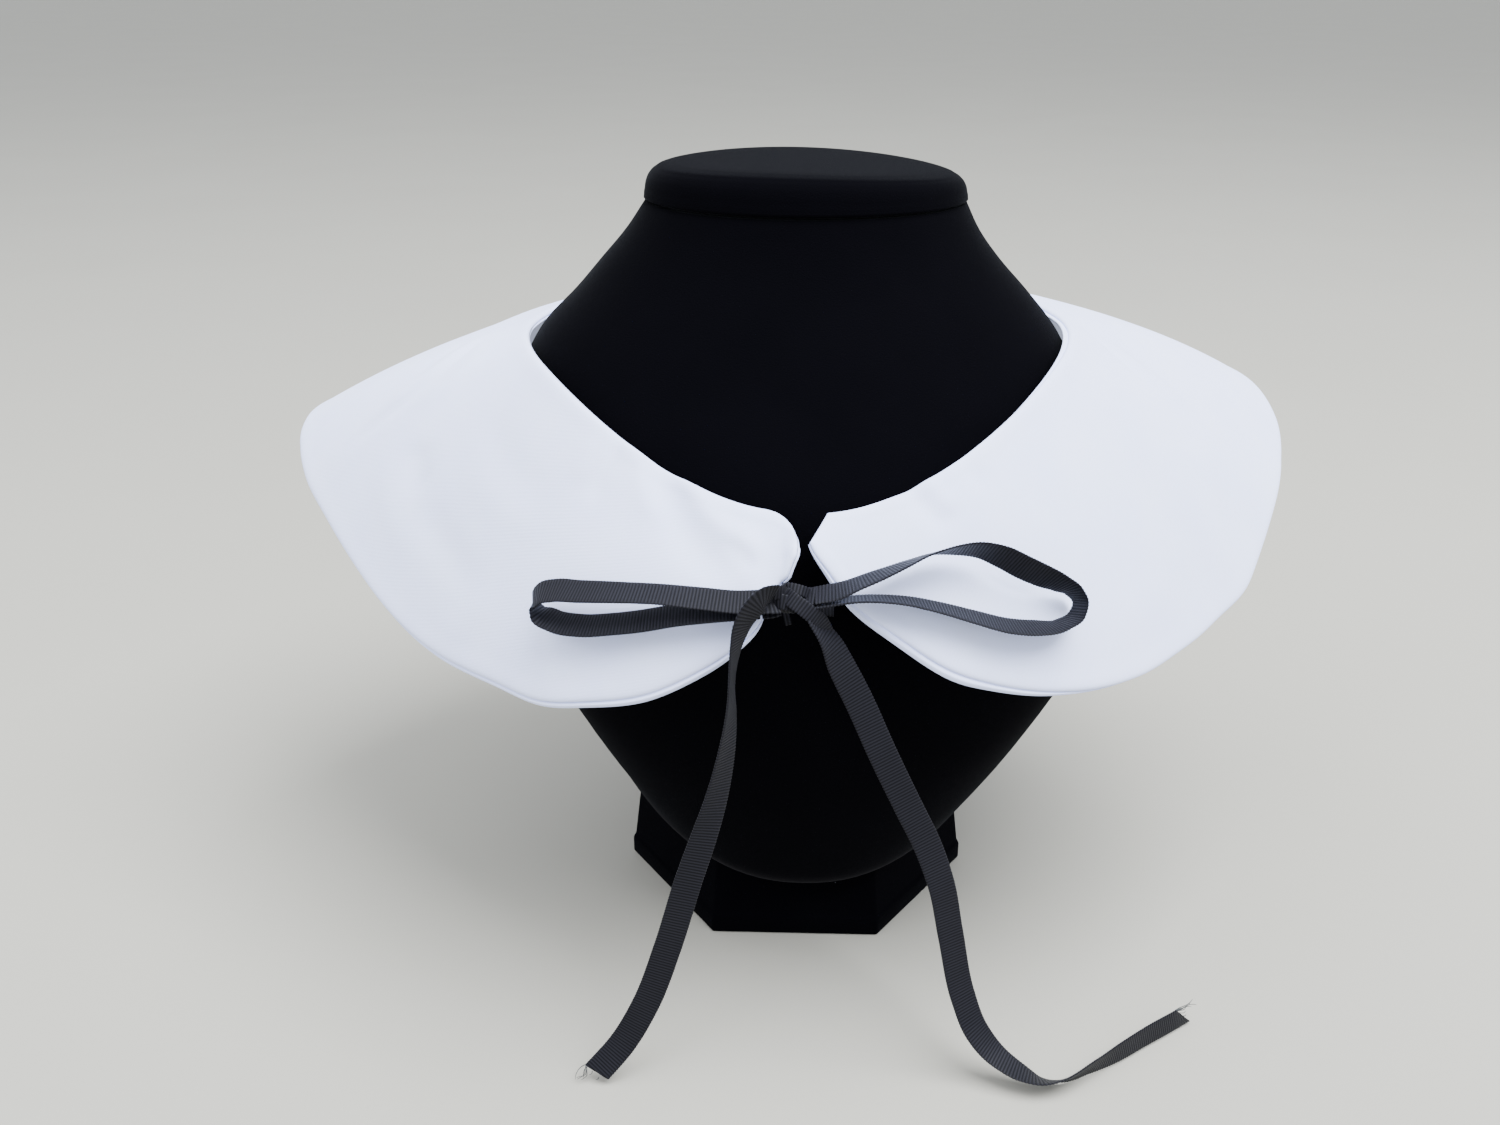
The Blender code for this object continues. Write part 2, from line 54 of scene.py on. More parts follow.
# Ribbon tails and loops
# Black 7 mm grosgrain ribbon, woven with thick weft ribs that show as fine cross lines on
# both faces and as tiny scallops along both edges. Two lengths of it are tied in a bow by
# hand, so the tails twist, and their cut ends fray where they reach the table.
RIBBON_HALF_WIDTH = 0.0035
RIBBON_HALF_WALL = 0.00016
RIB_PITCH = 0.00080
RIB_HEIGHT = 0.00013
RIB_SCALLOP = 0.00010
SCALLOP_POWER = 8
STATIONS_A_RIB = 4
FEWEST_RIBS = 3
WARP_PITCH = 0.00022
SLANT_REACH = 0.012
CURVE_STEP = 0.00005
PATH_STEP = 0.002
# The grooves between the ribs are coloured darker than the crests: painted shade in the grooves.
GROOVE_PAINTED_SHADE = (0.0007, 0.0007, 0.0013, 1.0)
RIB_BLACK = (0.0125, 0.0124, 0.0175, 1.0)
RIBBON_PROFILE = [
    # across, wall share
    (-1.0, 0.35),
    (-0.97, 0.8),
    (-0.88, 1.0),
    (-0.6, 1.0),
    (-0.3, 1.0),
    (0.0, 1.0),
    (0.3, 1.0),
    (0.6, 1.0),
    (0.88, 1.0),
    (0.97, 0.8),
    (1.0, 0.35),
]
LEFT_TAIL_ROUTE = [
    # x, y, z, side_x, side_y, side_z
    (-0.0090, -0.0956, 0.1334, -0.30, 0.52, -0.80),
    (-0.0126, -0.0989, 0.1326, 0.48, 0.50, -0.72),
    (-0.0157, -0.0998, 0.1286, 0.56, 0.66, -0.51),
    (-0.0173, -0.0996, 0.1236, 0.40, 0.81, -0.42),
    (-0.0184, -0.0994, 0.1174, 0.22, 0.90, -0.40),
    (-0.0190, -0.0992, 0.1104, 0.17, 0.92, -0.34),
    (-0.0192, -0.0996, 0.1042, 0.33, 0.9, -0.18),
    (-0.0202, -0.1000, 0.0950, 0.58, 0.8, -0.1),
    (-0.0228, -0.1005, 0.0820, 0.8, 0.55, -0.15),
    (-0.0260, -0.1010, 0.0710, 0.93, 0.28, -0.22),
    (-0.0295, -0.1015, 0.0600, 0.96, 0.1, -0.26),
    (-0.0350, -0.1020, 0.0405, 0.97, -0.02, -0.28),
    (-0.0410, -0.1025, 0.0230, 0.95, -0.1, -0.36),
    (-0.0475, -0.1032, 0.0108, 0.9, -0.2, -0.38),
    (-0.0544, -0.1049, 0.0027, 0.9, -0.3, -0.3),
]
RIGHT_TAIL_ROUTE = [
    # x, y, z, side_x, side_y, side_z
    (-0.0012, -0.0945, 0.1270, 0.08, 0.99, -0.1),
    (0.0032, -0.0954, 0.1218, 0.58, 0.81, 0.0),
    (0.0064, -0.0957, 0.1150, 0.84, 0.5, 0.22),
    (0.0104, -0.0959, 0.1067, 0.9, 0.3, 0.3),
    (0.0166, -0.0963, 0.0923, 0.92, 0.2, 0.36),
    (0.0232, -0.0968, 0.0780, 0.92, 0.2, 0.36),
    (0.0284, -0.0972, 0.0670, 0.92, 0.25, 0.34),
    (0.0323, -0.0978, 0.0560, 0.94, 0.3, 0.2),
    (0.0353, -0.0987, 0.0415, 0.93, 0.35, 0.12),
    (0.0391, -0.1006, 0.0240, 0.9, 0.42, 0.1),
    (0.0429, -0.1024, 0.0145, 0.87, 0.5, 0.05),
    (0.0478, -0.1042, 0.0086, 0.74, 0.66, 0.0),
    (0.0536, -0.1068, 0.0054, 0.55, 0.8, -0.12),
    (0.0586, -0.1084, 0.0040, 0.35, 0.82, -0.42),
    (0.0640, -0.1078, 0.0033, 0.2, 0.72, -0.67),
    (0.0734, -0.1032, 0.0038, -0.12, 0.31, -0.94),
    (0.0810, -0.0984, 0.0040, -0.04, 0.07, -1.0),
    (0.0900, -0.0920, 0.0040, 0.0, 0.0, -1.0),
    (0.0978, -0.0868, 0.0040, 0.0, 0.0, -1.0),
    (0.1043, -0.0823, 0.0040, 0.0, 0.0, -1.0),
]
LEFT_LOOP_ROUTE = [
    # x, y, z, side_x, side_y, side_z
    (-0.0122, -0.0938, 0.1304, 0.0, 0.88, 0.48),
    (-0.0175, -0.0935, 0.1302, 0.0, 0.9, 0.44),
    (-0.0260, -0.0928, 0.1308, -0.02, 0.92, 0.4),
    (-0.0355, -0.0916, 0.1313, -0.05, 0.94, 0.33),
    (-0.0450, -0.0895, 0.1308, -0.07, 0.94, 0.33),
    (-0.0545, -0.0860, 0.1295, -0.08, 0.93, 0.37),
    (-0.0610, -0.0830, 0.1284, -0.08, 0.92, 0.4),
    (-0.0650, -0.0810, 0.1265, -0.08, 0.92, 0.4),
    (-0.0664, -0.0802, 0.1242, -0.08, 0.92, 0.4),
    (-0.0654, -0.0808, 0.1220, -0.08, 0.92, 0.4),
    (-0.0615, -0.0828, 0.1205, -0.08, 0.92, 0.4),
    (-0.0545, -0.0858, 0.1206, -0.08, 0.92, 0.38),
    (-0.0475, -0.0881, 0.1220, -0.07, 0.92, 0.38),
    (-0.0405, -0.0896, 0.1235, -0.05, 0.91, 0.41),
    (-0.0310, -0.0913, 0.1260, -0.03, 0.9, 0.43),
    (-0.0230, -0.0922, 0.1274, -0.02, 0.88, 0.47),
    (-0.0124, -0.0926, 0.1286, 0.0, 0.86, 0.5),
]
RIGHT_LOOP_ROUTE = [
    # x, y, z, side_x, side_y, side_z
    (0.0002, -0.0922, 0.1312, 0.1, 0.97, 0.2),
    (0.0060, -0.0928, 0.1328, 0.18, 0.95, 0.24),
    (0.0110, -0.0928, 0.1350, 0.2, 0.97, 0.12),
    (0.0165, -0.0915, 0.1368, 0.21, 0.98, 0.0),
    (0.0215, -0.0898, 0.1383, 0.17, 0.97, -0.15),
    (0.0270, -0.0880, 0.1398, 0.14, 0.92, -0.36),
    (0.0325, -0.0866, 0.1402, 0.16, 0.78, -0.6),
    (0.0390, -0.0855, 0.1397, 0.1, 0.57, -0.81),
    (0.0440, -0.0850, 0.1378, -0.06, 0.36, -0.93),
    (0.0490, -0.0845, 0.1350, -0.14, 0.3, -0.94),
    (0.0540, -0.0836, 0.1323, -0.16, 0.38, -0.91),
    (0.0585, -0.0824, 0.1298, -0.22, 0.57, -0.79),
    (0.0620, -0.0816, 0.1274, -0.28, 0.73, -0.62),
    (0.0638, -0.0818, 0.1246, -0.33, 0.86, -0.39),
    (0.0628, -0.0832, 0.1222, -0.3, 0.93, -0.2),
    (0.0590, -0.0858, 0.1209, -0.1, 0.97, -0.08),
    (0.0520, -0.0889, 0.1215, 0.1, 0.98, 0.06),
    (0.0455, -0.0906, 0.1228, 0.14, 0.98, 0.06),
    (0.0375, -0.0918, 0.1255, 0.17, 0.98, 0.0),
    (0.0295, -0.0924, 0.1281, 0.17, 0.98, -0.07),
    (0.0215, -0.0928, 0.1301, 0.16, 0.97, -0.13),
    (0.0120, -0.0932, 0.1309, 0.1, 0.97, -0.17),
    (0.0004, -0.0926, 0.1292, 0.05, 0.98, -0.16),
]
RIBBONS = [
    # name, route, cut slant, far end, lay
    ("tail_left", LEFT_TAIL_ROUTE, -0.0016, "bare", "hanging"),
    ("tail_right", RIGHT_TAIL_ROUTE, 0.0068, "bare", "hanging"),
    ("loop_left", LEFT_LOOP_ROUTE, 0.0, "object", "loose"),
    ("loop_right", RIGHT_LOOP_ROUTE, 0.0, "object", "loose"),
]


def unit(vectors):
    return vectors / np.linalg.norm(vectors, axis=-1, keepdims=True)


def read_table(rows, at):
    """Every column of a table at the given first-column values, smooth through each row."""
    table = np.array(rows, float)
    key = table[:, 0]
    slope = np.gradient(table, key, axis=0)
    at = np.asarray(at, float)
    i = np.clip(np.searchsorted(key, at, side="right") - 1, 0, len(key) - 2)
    span = (key[i + 1] - key[i])[:, None]
    s = (at - key[i])[:, None] / span
    return (
        (1 + 2 * s) * (1 - s) ** 2 * table[i]
        + s * (1 - s) ** 2 * span * slope[i]
        + s**2 * (3 - 2 * s) * table[i + 1]
        + s**2 * (s - 1) * span * slope[i + 1]
    )


class Course:
    """The smooth line that a ribbon follows, with the directions across and off its face."""

    def __init__(self, route):
        rows = np.array(route, float)
        run = np.linalg.norm(np.diff(rows[:, :3], axis=0), axis=1)
        keyed = np.column_stack([np.concatenate([[0.0], np.cumsum(run)]), rows])
        fine = read_table(keyed, np.arange(0.0, keyed[-1, 0], CURVE_STEP))[:, 1:]
        self.middle = fine[:, :3]
        tangent = unit(np.gradient(self.middle, axis=0))
        across = fine[:, 3:] - np.sum(fine[:, 3:] * tangent, axis=1)[:, None] * tangent
        self.across = unit(across)
        self.face = unit(np.cross(tangent, self.across))
        steps = np.linalg.norm(np.diff(self.middle, axis=0), axis=1)
        self.run = np.concatenate([[0.0], np.cumsum(steps)])
        self.length = self.run[-1]

    def at(self, run, what):
        return np.stack([np.interp(run, self.run, what[:, k]) for k in range(3)], axis=-1)

    def path(self, end):
        stops = np.linspace(0.0, end, round(end / PATH_STEP) + 1)
        return [tuple(point) for point in self.at(stops, self.middle)]


def add_piece(name, mesh):
    """Puts a mesh in the scene as a smooth shaded piece."""
    mesh.shade_smooth()
    piece = bpy.data.objects.new(name, mesh)
    bpy.context.scene.collection.objects.link(piece)
    return piece


def mesh_from(name, bm):
    mesh = bpy.data.meshes.new(name)
    bm.to_mesh(mesh)
    bm.free()
    return mesh


def weave_ribbon(name, course, cut_slant=0.0, half_width=RIBBON_HALF_WIDTH):
    """Ribbon with real ribs along a course. cut_slant leans its last cut end to one side."""
    bm = bmesh.new()
    uv_layer = bm.loops.layers.uv.new("ribbon")
    ribs = max(FEWEST_RIBS, round(course.length / RIB_PITCH))
    runs = np.linspace(0.0, course.length, ribs * STATIONS_A_RIB + 1)
    near_end = np.clip(1.0 - (course.length - runs) / SLANT_REACH, 0.0, 1.0) ** 2
    ring = RIBBON_PROFILE + RIBBON_PROFILE[::-1]
    count = len(ring)
    columns = []
    marks = []
    for k, (across, wall) in enumerate(ring):
        short_side = (1.0 - across * math.copysign(1.0, cut_slant)) / 2
        shifted = runs - abs(cut_slant) * short_side * near_end
        wave = 0.5 - 0.5 * np.cos(2 * math.pi * shifted / RIB_PITCH)
        scallop = math.copysign(RIB_SCALLOP, across) * (1 - wave) * abs(across) ** SCALLOP_POWER
        out = half_width * across - scallop
        face_side = 1.0 if k < count // 2 else -1.0
        off = face_side * wall * (RIBBON_HALF_WALL + RIB_HEIGHT * wave)
        columns.append(
            course.at(shifted, course.middle)
            + course.at(shifted, course.across) * out[:, None]
            + course.at(shifted, course.face) * off[:, None]
        )
        marks.append(np.column_stack([shifted, out]))
    points = np.stack(columns, axis=1)
    marks = np.stack(marks, axis=1)
    verts = [[bm.verts.new(point) for point in row] for row in points]
    for r in range(len(verts) - 1):
        for k in range(count):
            n = (k + 1) % count
            face = bm.faces.new((verts[r][k], verts[r + 1][k], verts[r + 1][n], verts[r][n]))
            spots = (marks[r][k], marks[r + 1][k], marks[r + 1][n], marks[r][n])
            for loop, spot in zip(face.loops, spots):
                loop[uv_layer].uv = spot
    first_end = (verts[0], marks[0], range(count))
    last_end = (verts[-1], marks[-1], range(count - 1, -1, -1))
    for row, spots, order in (first_end, last_end):
        face = bm.faces.new([row[k] for k in order])
        for loop, k in zip(face.loops, order):
            loop[uv_layer].uv = spots[k]
    return add_piece(name, mesh_from(name, bm))


class Amount:
    """A number that varies over a surface, worked out with ordinary arithmetic."""

    def __init__(self, finish, socket):
        self.finish = finish
        self.socket = socket

    def join(self, operation, *others):
        values = [self.socket] + [getattr(other, "socket", other) for other in others]
        return self.finish.node("ShaderNodeMath", {"operation": operation}, values)["Value"]

    def __add__(self, other):
        return self.join("ADD", other)

    def __mul__(self, other):
        return self.join("MULTIPLY", other)

    def __sub__(self, other):
        return self.join("SUBTRACT", other)

    def __rsub__(self, other):
        return self.join("MULTIPLY", -1.0) + other

    __radd__ = __add__
    __rmul__ = __mul__

    def sine(self):
        return self.join("SINE")

    def size(self):
        return self.join("ABSOLUTE")

    def above(self, level):
        return self.join("GREATER_THAN", level)

    def rising(self, low, high):
        """0 under low, 1 over high, smooth between."""
        settings = {"interpolation_type": "SMOOTHSTEP"}
        return self.finish.node("ShaderNodeMapRange", settings, [self, low, high, 0.0, 1.0])["Result"]


class Finish:
    """One material and its nodes. The named values are set on the shader's own sockets."""

    def __init__(self, name, **values):
        self.material = bpy.data.materials.new(name)
        self.material.use_nodes = True
        self.tree = self.material.node_tree
        self.shader = self.tree.nodes["Principled BSDF"]
        for socket, value in values.items():
            self.shader.inputs[socket.replace("_", " ")].default_value = value

    def node(self, kind, settings=None, values=()):
        """Adds a node, sets it up, feeds its inputs in order or by name, and gives its outputs."""
        made = self.tree.nodes.new(kind)
        for key, value in (settings or {}).items():
            setattr(made, key, value)
        pairs = values.items() if isinstance(values, dict) else enumerate(values)
        for key, value in pairs:
            value = getattr(value, "socket", value)
            if isinstance(value, bpy.types.NodeSocket):
                self.tree.links.new(value, made.inputs[key])
            else:
                made.inputs[key].default_value = value
        return {output.name: Amount(self, output) for output in made.outputs if output.enabled}

    def split(self, vector):
        parts = self.node("ShaderNodeSeparateXYZ", None, [vector])
        return parts["X"], parts["Y"], parts["Z"]

    def uv(self, layer):
        return self.node("ShaderNodeUVMap", {"uv_map": layer})["UV"]

    def place(self):
        return self.node("ShaderNodeTexCoord")["Object"]

    def noise(self, vector, scale, detail=2.0, roughness=0.5):
        values = {"Vector": vector, "Scale": scale, "Detail": detail, "Roughness": roughness}
        return self.node("ShaderNodeTexNoise", None, values)["Fac"]

    def flecks(self, vector, scale, inner, outer, rarity):
        """Scattered dots: 1 within the inner radius and 0 past the outer one, in few cells."""
        values = {"Vector": vector, "Scale": scale, "Randomness": 1.0}
        cell = self.node("ShaderNodeTexVoronoi", {"feature": "F1"}, values)
        picked = self.split(cell["Color"])[0].above(rarity)
        return (1.0 - cell["Distance"].rising(inner, outer)) * picked

    def blend(self, share, first, second):
        values = {0: share, 6: first, 7: second}
        return self.node("ShaderNodeMix", {"data_type": "RGBA"}, values)["Result"]

    def feed(self, socket, value):
        self.tree.links.new(value.socket, self.shader.inputs[socket])

    def bump(self, height, distance, strength=1.0):
        values = {"Strength": strength, "Distance": distance, "Height": height}
        self.feed("Normal", self.node("ShaderNodeBump", None, values)["Normal"])


def grosgrain_finish():
    """Black polyester: soft gloss on the ribs, matte in the grooves, fine warp lines. The grooves get
    painted shade in their colour.
    """
    finish = Finish("black_grosgrain", Specular_IOR_Level=0.08, Sheen_Weight=0.03, Sheen_Roughness=0.4)
    along, across, _ = finish.split(finish.uv("ribbon"))
    rib = 0.5 - 0.5 * (along * (2 * math.pi / RIB_PITCH) + math.pi / 2).sine()
    warp = 0.5 + 0.5 * (across * (2 * math.pi / WARP_PITCH)).sine()
    patch = finish.noise(finish.place(), scale=90.0, detail=3.0)
    shade = rib * 0.7 + warp * 0.12 + patch * 0.18
    # Colour runs from the painted shade of the grooves up to the crest colour, following the rib wave.
    finish.feed("Base Color", finish.blend(shade, GROOVE_PAINTED_SHADE, RIB_BLACK))
    finish.feed("Roughness", 0.62 - 0.2 * rib - 0.05 * patch)
    finish.bump(warp * 0.6 + patch * 0.4, distance=0.00003)
    return finish.material


grosgrain = grosgrain_finish()
courses = {}
lengths = {}
for name, route, slant, _, _ in RIBBONS:
    course = Course(route)
    courses[name] = course
    lengths[name] = float(course.length) - abs(slant) / 2
    piece = weave_ribbon("ribbon_" + name, course, cut_slant=slant)
    piece.data.materials.append(grosgrain)
    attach(piece, "root")
    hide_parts(name)

# Frayed ends
# The tails are cut with scissors and not sealed, so a few fine warp threads stand out
# of each cut corner.
THREAD_RADIUS = 0.00013
THREAD_SIDES = 5
THREAD_STEPS = 10
END_RUN = 0.002
THREAD_DARK = (0.006, 0.008, 0.010, 1.0)
THREAD_PALE = (0.024, 0.028, 0.032, 1.0)
FRAYS = {
    "tail_left": [
        # across, back, length, spread_across, spread_face, curl
        (-0.98, 0.0004, 0.0040, 0.25, 0.30, 0.0009),
        (-0.94, 0.0003, 0.0047, 0.10, 0.10, -0.0008),
        (-0.89, 0.0004, 0.0036, 0.42, 0.22, 0.0010),
        (-0.84, 0.0003, 0.0042, 0.02, 0.05, 0.0012),
        (-0.78, 0.0003, 0.0028, 0.50, 0.25, -0.0006),
        (-0.30, 0.0002, 0.0011, 0.10, 0.30, 0.0003),
        (0.35, 0.0002, 0.0009, -0.10, 0.35, 0.0002),
    ],
    "tail_right": [
        # across, back, length, spread_across, spread_face, curl
        (-0.99, 0.0070, 0.0074, 0.02, 0.05, 0.0004),
        (-0.95, 0.0069, 0.0078, 0.16, -0.08, -0.0005),
        (-0.90, 0.0068, 0.0070, 0.08, 0.10, 0.0006),
        (-0.84, 0.0067, 0.0066, 0.24, 0.02, -0.0004),
        (-0.78, 0.0065, 0.0050, 0.12, 0.12, 0.0006),
        (-0.70, 0.0062, 0.0032, 0.26, -0.10, 0.0005),
        (0.10, 0.0030, 0.0012, 0.10, 0.20, 0.0002),
    ],
}


def fray(name, course, threads):
    """Loose threads that leave a cut end, each a fine tube that tapers and curls."""
    bm = bmesh.new()
    end = course.length
    tangent = course.at(end, course.middle) - course.at(end - END_RUN, course.middle)
    tangent = tangent / np.linalg.norm(tangent)
    side = course.at(end, course.across)
    face = course.at(end, course.face)
    angles = [2 * math.pi * j / THREAD_SIDES for j in range(THREAD_SIDES)]
    for across, back, length, spread_across, spread_face, curl in threads:
        start = course.at(end - back, course.middle)
        start = start + course.at(end - back, course.across) * across * RIBBON_HALF_WIDTH
        rings = []
        for k in range(THREAD_STEPS + 1):
            s = k / THREAD_STEPS
            spread = (side * spread_across + face * spread_face) * length * s
            sway = face * curl * 0.5 * math.sin(2 * math.pi * s)
            middle = start + tangent * length * s + spread
            middle = middle + side * curl * math.sin(math.pi * s) + sway
            middle[2] = max(middle[2], THREAD_RADIUS)
            radius = THREAD_RADIUS * (1.0 - 0.5 * s)
            rings.append([
                bm.verts.new(middle + radius * (side * math.cos(angle) + face * math.sin(angle)))
                for angle in angles
            ])
        for low, high in zip(rings, rings[1:]):
            for j in range(THREAD_SIDES):
                n = (j + 1) % THREAD_SIDES
                bm.faces.new((low[j], low[n], high[n], high[j]))
        bm.faces.new(rings[0][::-1])
        bm.faces.new(rings[-1])
    bmesh.ops.recalc_face_normals(bm, faces=bm.faces)
    return add_piece(name, mesh_from(name, bm))


thread = Finish("loose_thread", Roughness=0.55, Sheen_Weight=0.1)
thread_tone = thread.noise(thread.place(), scale=900.0)
thread.feed("Base Color", thread.blend(thread_tone, THREAD_DARK, THREAD_PALE))
for name, threads in FRAYS.items():
    piece = fray("fray_" + name, courses[name], threads)
    piece.data.materials.append(thread.material)
    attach(piece, "root")

for name, _, _, far_end, lay in RIBBONS:
    course = courses[name]
    piece = bpy.data.objects["ribbon_" + name]
    course.path(lengths[name])


# Bow knot
# The same ribbon drawn round itself: one turn wraps the middle, a fold of it crosses the
# front down into the tail, and its top edge is rolled over.
KNOT_CORE_HALF = (0.0046, 0.0026, 0.0034)
KNOT_MIDDLE = (-0.0058, -0.0910, 0.1298)
KNOT_CORE_AROUND = 0.02
KNOT_CORE_ALONG = 0.012
KNOT_BANDS = [
    # half width and one list of x, y, z, side_x, side_y, side_z rows for each band; the
    # last four carry the ends of the loops into the knot
    (0.0017, [
        (-0.0092, -0.0952, 0.1330, -0.10, 0.30, -0.95),
        (-0.0077, -0.0942, 0.1330, 0.10, 0.10, -0.99),
        (-0.0067, -0.0922, 0.1325, 0.20, 0.00, -0.98),
        (-0.0064, -0.0895, 0.1310, 0.20, -0.30, -0.93),
    ]),
    (0.0019, [
        (-0.0069, -0.0925, 0.1318, 0.62, 0.30, 0.72),
        (-0.0051, -0.0948, 0.1313, 0.62, 0.30, 0.72),
        (-0.0029, -0.0960, 0.1301, 0.62, 0.30, 0.72),
        (-0.0006, -0.0962, 0.1282, 0.64, 0.30, 0.70),
        (0.0013, -0.0952, 0.1262, 0.70, 0.45, 0.55),
        (0.0028, -0.0938, 0.1228, 0.80, 0.45, 0.35),
        (0.0039, -0.0925, 0.1188, 0.80, 0.50, 0.30),
    ]),
    (0.0013, [
        (-0.0075, -0.0905, 0.1324, 0.10, 0.60, 0.78),
        (-0.0053, -0.0920, 0.1330, 0.14, 0.55, 0.82),
        (-0.0030, -0.0924, 0.1326, 0.20, 0.52, 0.83),
        (-0.0010, -0.0914, 0.1312, 0.28, 0.50, 0.82),
    ]),
    (0.0018, [
        (-0.0108, -0.0914, 0.1290, -0.20, 0.30, 0.93),
        (-0.0094, -0.0936, 0.1304, -0.18, 0.30, 0.93),
        (-0.0074, -0.0946, 0.1308, 0.00, 0.30, 0.95),
        (-0.0054, -0.0942, 0.1300, 0.15, 0.30, 0.94),
        (-0.0040, -0.0930, 0.1288, 0.25, 0.30, 0.92),
    ]),
    (0.0035, [
        (-0.0034, -0.0912, 0.1300, 0.10, 0.97, 0.20),
        (-0.0016, -0.0918, 0.1306, 0.10, 0.97, 0.20),
        (0.0002, -0.0922, 0.1312, 0.10, 0.97, 0.20),
    ]),
    (0.0035, [
        (0.0004, -0.0926, 0.1292, 0.05, 0.98, -0.16),
        (-0.0014, -0.0922, 0.1286, 0.05, 0.98, -0.16),
        (-0.0032, -0.0914, 0.1284, 0.05, 0.98, -0.16),
    ]),
    (0.0035, [
        (-0.0122, -0.0938, 0.1304, 0.0, 0.88, 0.48),
        (-0.0104, -0.0936, 0.1304, 0.0, 0.88, 0.48),
        (-0.0086, -0.0928, 0.1302, 0.0, 0.88, 0.48),
    ]),
    (0.0035, [
        (-0.0124, -0.0926, 0.1286, 0.0, 0.86, 0.50),
        (-0.0106, -0.0922, 0.1286, 0.0, 0.86, 0.50),
        (-0.0088, -0.0914, 0.1288, 0.0, 0.86, 0.50),
    ]),
]

bpy.ops.object.select_all(action="DESELECT")
bpy.ops.mesh.primitive_uv_sphere_add(segments=32, ring_count=20, radius=1.0)
core = bpy.context.object
core.scale = KNOT_CORE_HALF
core.location = KNOT_MIDDLE
bpy.ops.object.transform_apply(location=True, rotation=False, scale=True)
bpy.ops.object.shade_smooth()
core.data.uv_layers[0].name = "ribbon"
for spot in core.data.uv_layers[0].data:
    spot.uv = (spot.uv[0] * KNOT_CORE_AROUND, spot.uv[1] * KNOT_CORE_ALONG)
parts = [core]
for k, (half_width, rows) in enumerate(KNOT_BANDS):
    parts.append(weave_ribbon(f"band_{k}", Course(rows), half_width=half_width))
bpy.ops.object.select_all(action="DESELECT")
for part in parts:
    part.select_set(True)
bpy.context.view_layer.objects.active = core
bpy.ops.object.join()
knot = bpy.context.object
knot.name = "ribbon_knot"
knot.data.materials.clear()
knot.data.materials.append(grosgrain)
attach(knot, "root")
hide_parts("bow_knot")

# Tie ends
# Short lengths of the ribbon, sewn between the two cotton layers at the front ends of
# the neckline and drawn into the knot.
TIE_ROUTES = {
    # x, y, z, side_x, side_y, side_z
    "tie_left": [
        (-0.0072, -0.0871, 0.1248, 0.0, 0.3, 0.95),
        (-0.0057, -0.0871, 0.1252, 0.0, 0.3, 0.95),
    ],
    "tie_right": [
        (-0.0034, -0.0880, 0.1284, 0.0, 0.80, 0.35),
        (0.0049, -0.0869, 0.1272, 0.0, 0.55, 0.80),
    ],
}
for name, route in TIE_ROUTES.items():
    piece = weave_ribbon("ribbon_" + name, Course(route))
    piece.data.materials.append(grosgrain)
    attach(piece, "root")
    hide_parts(name)

# Collar
# Two layers of fine white cotton, sewn right sides together round the outside, turned
# and pressed with no topstitching. Both are cut from one C shaped pattern; the under
# layer rolls out past the upper one along the front edges and shows as a narrow strip.
NECK_LEFT_HALF_WIDTH = 74.5
NECK_RIGHT_HALF_WIDTH = 73.4
NECK_RIGHT_LIFT = 1.2
NECK_FRONT = 75.0
NECK_BACK = 50.0
NECK_MIDDLE_X = -1.0
NECK_SIDE_HEIGHT = 171.5
NECK_FRONT_FALL = 26.5
NECK_BACK_RISE = 8.5
NECK_FALL_POWER = 1.2
MM = 0.001
CLOTH_WALL = 0.85
LAYER_GAP = 0.3
EDGE_REACH = 1.3
UPPER_EDGE_ROLL = (0.75, 0.36)
UNDER_EDGE_ROLL = (0.62, -0.08)
JOINED_EDGE_ROLL = (0.0, -0.5)
STATIONS = 440
ACROSS = 46
CREASE_STOPS = 60
CREASE_FADE = 0.35
THREAD_PITCH = 0.00034
COTTON_SHADE = (0.615, 0.675, 0.990, 1.0)
COTTON_WHITE = (0.675, 0.735, 1.000, 1.0)
COTTON_FLECK = (0.35, 0.33, 0.34, 1.0)
RIM_TURNS = [0.0, 0.04, 0.13, 0.28, 0.5, 0.8, 1.2]
RIM_SHARES = [0.0, 0.0008, 0.0027, 0.0056, 0.009, 0.0125, 0.016, 0.020, 0.025]
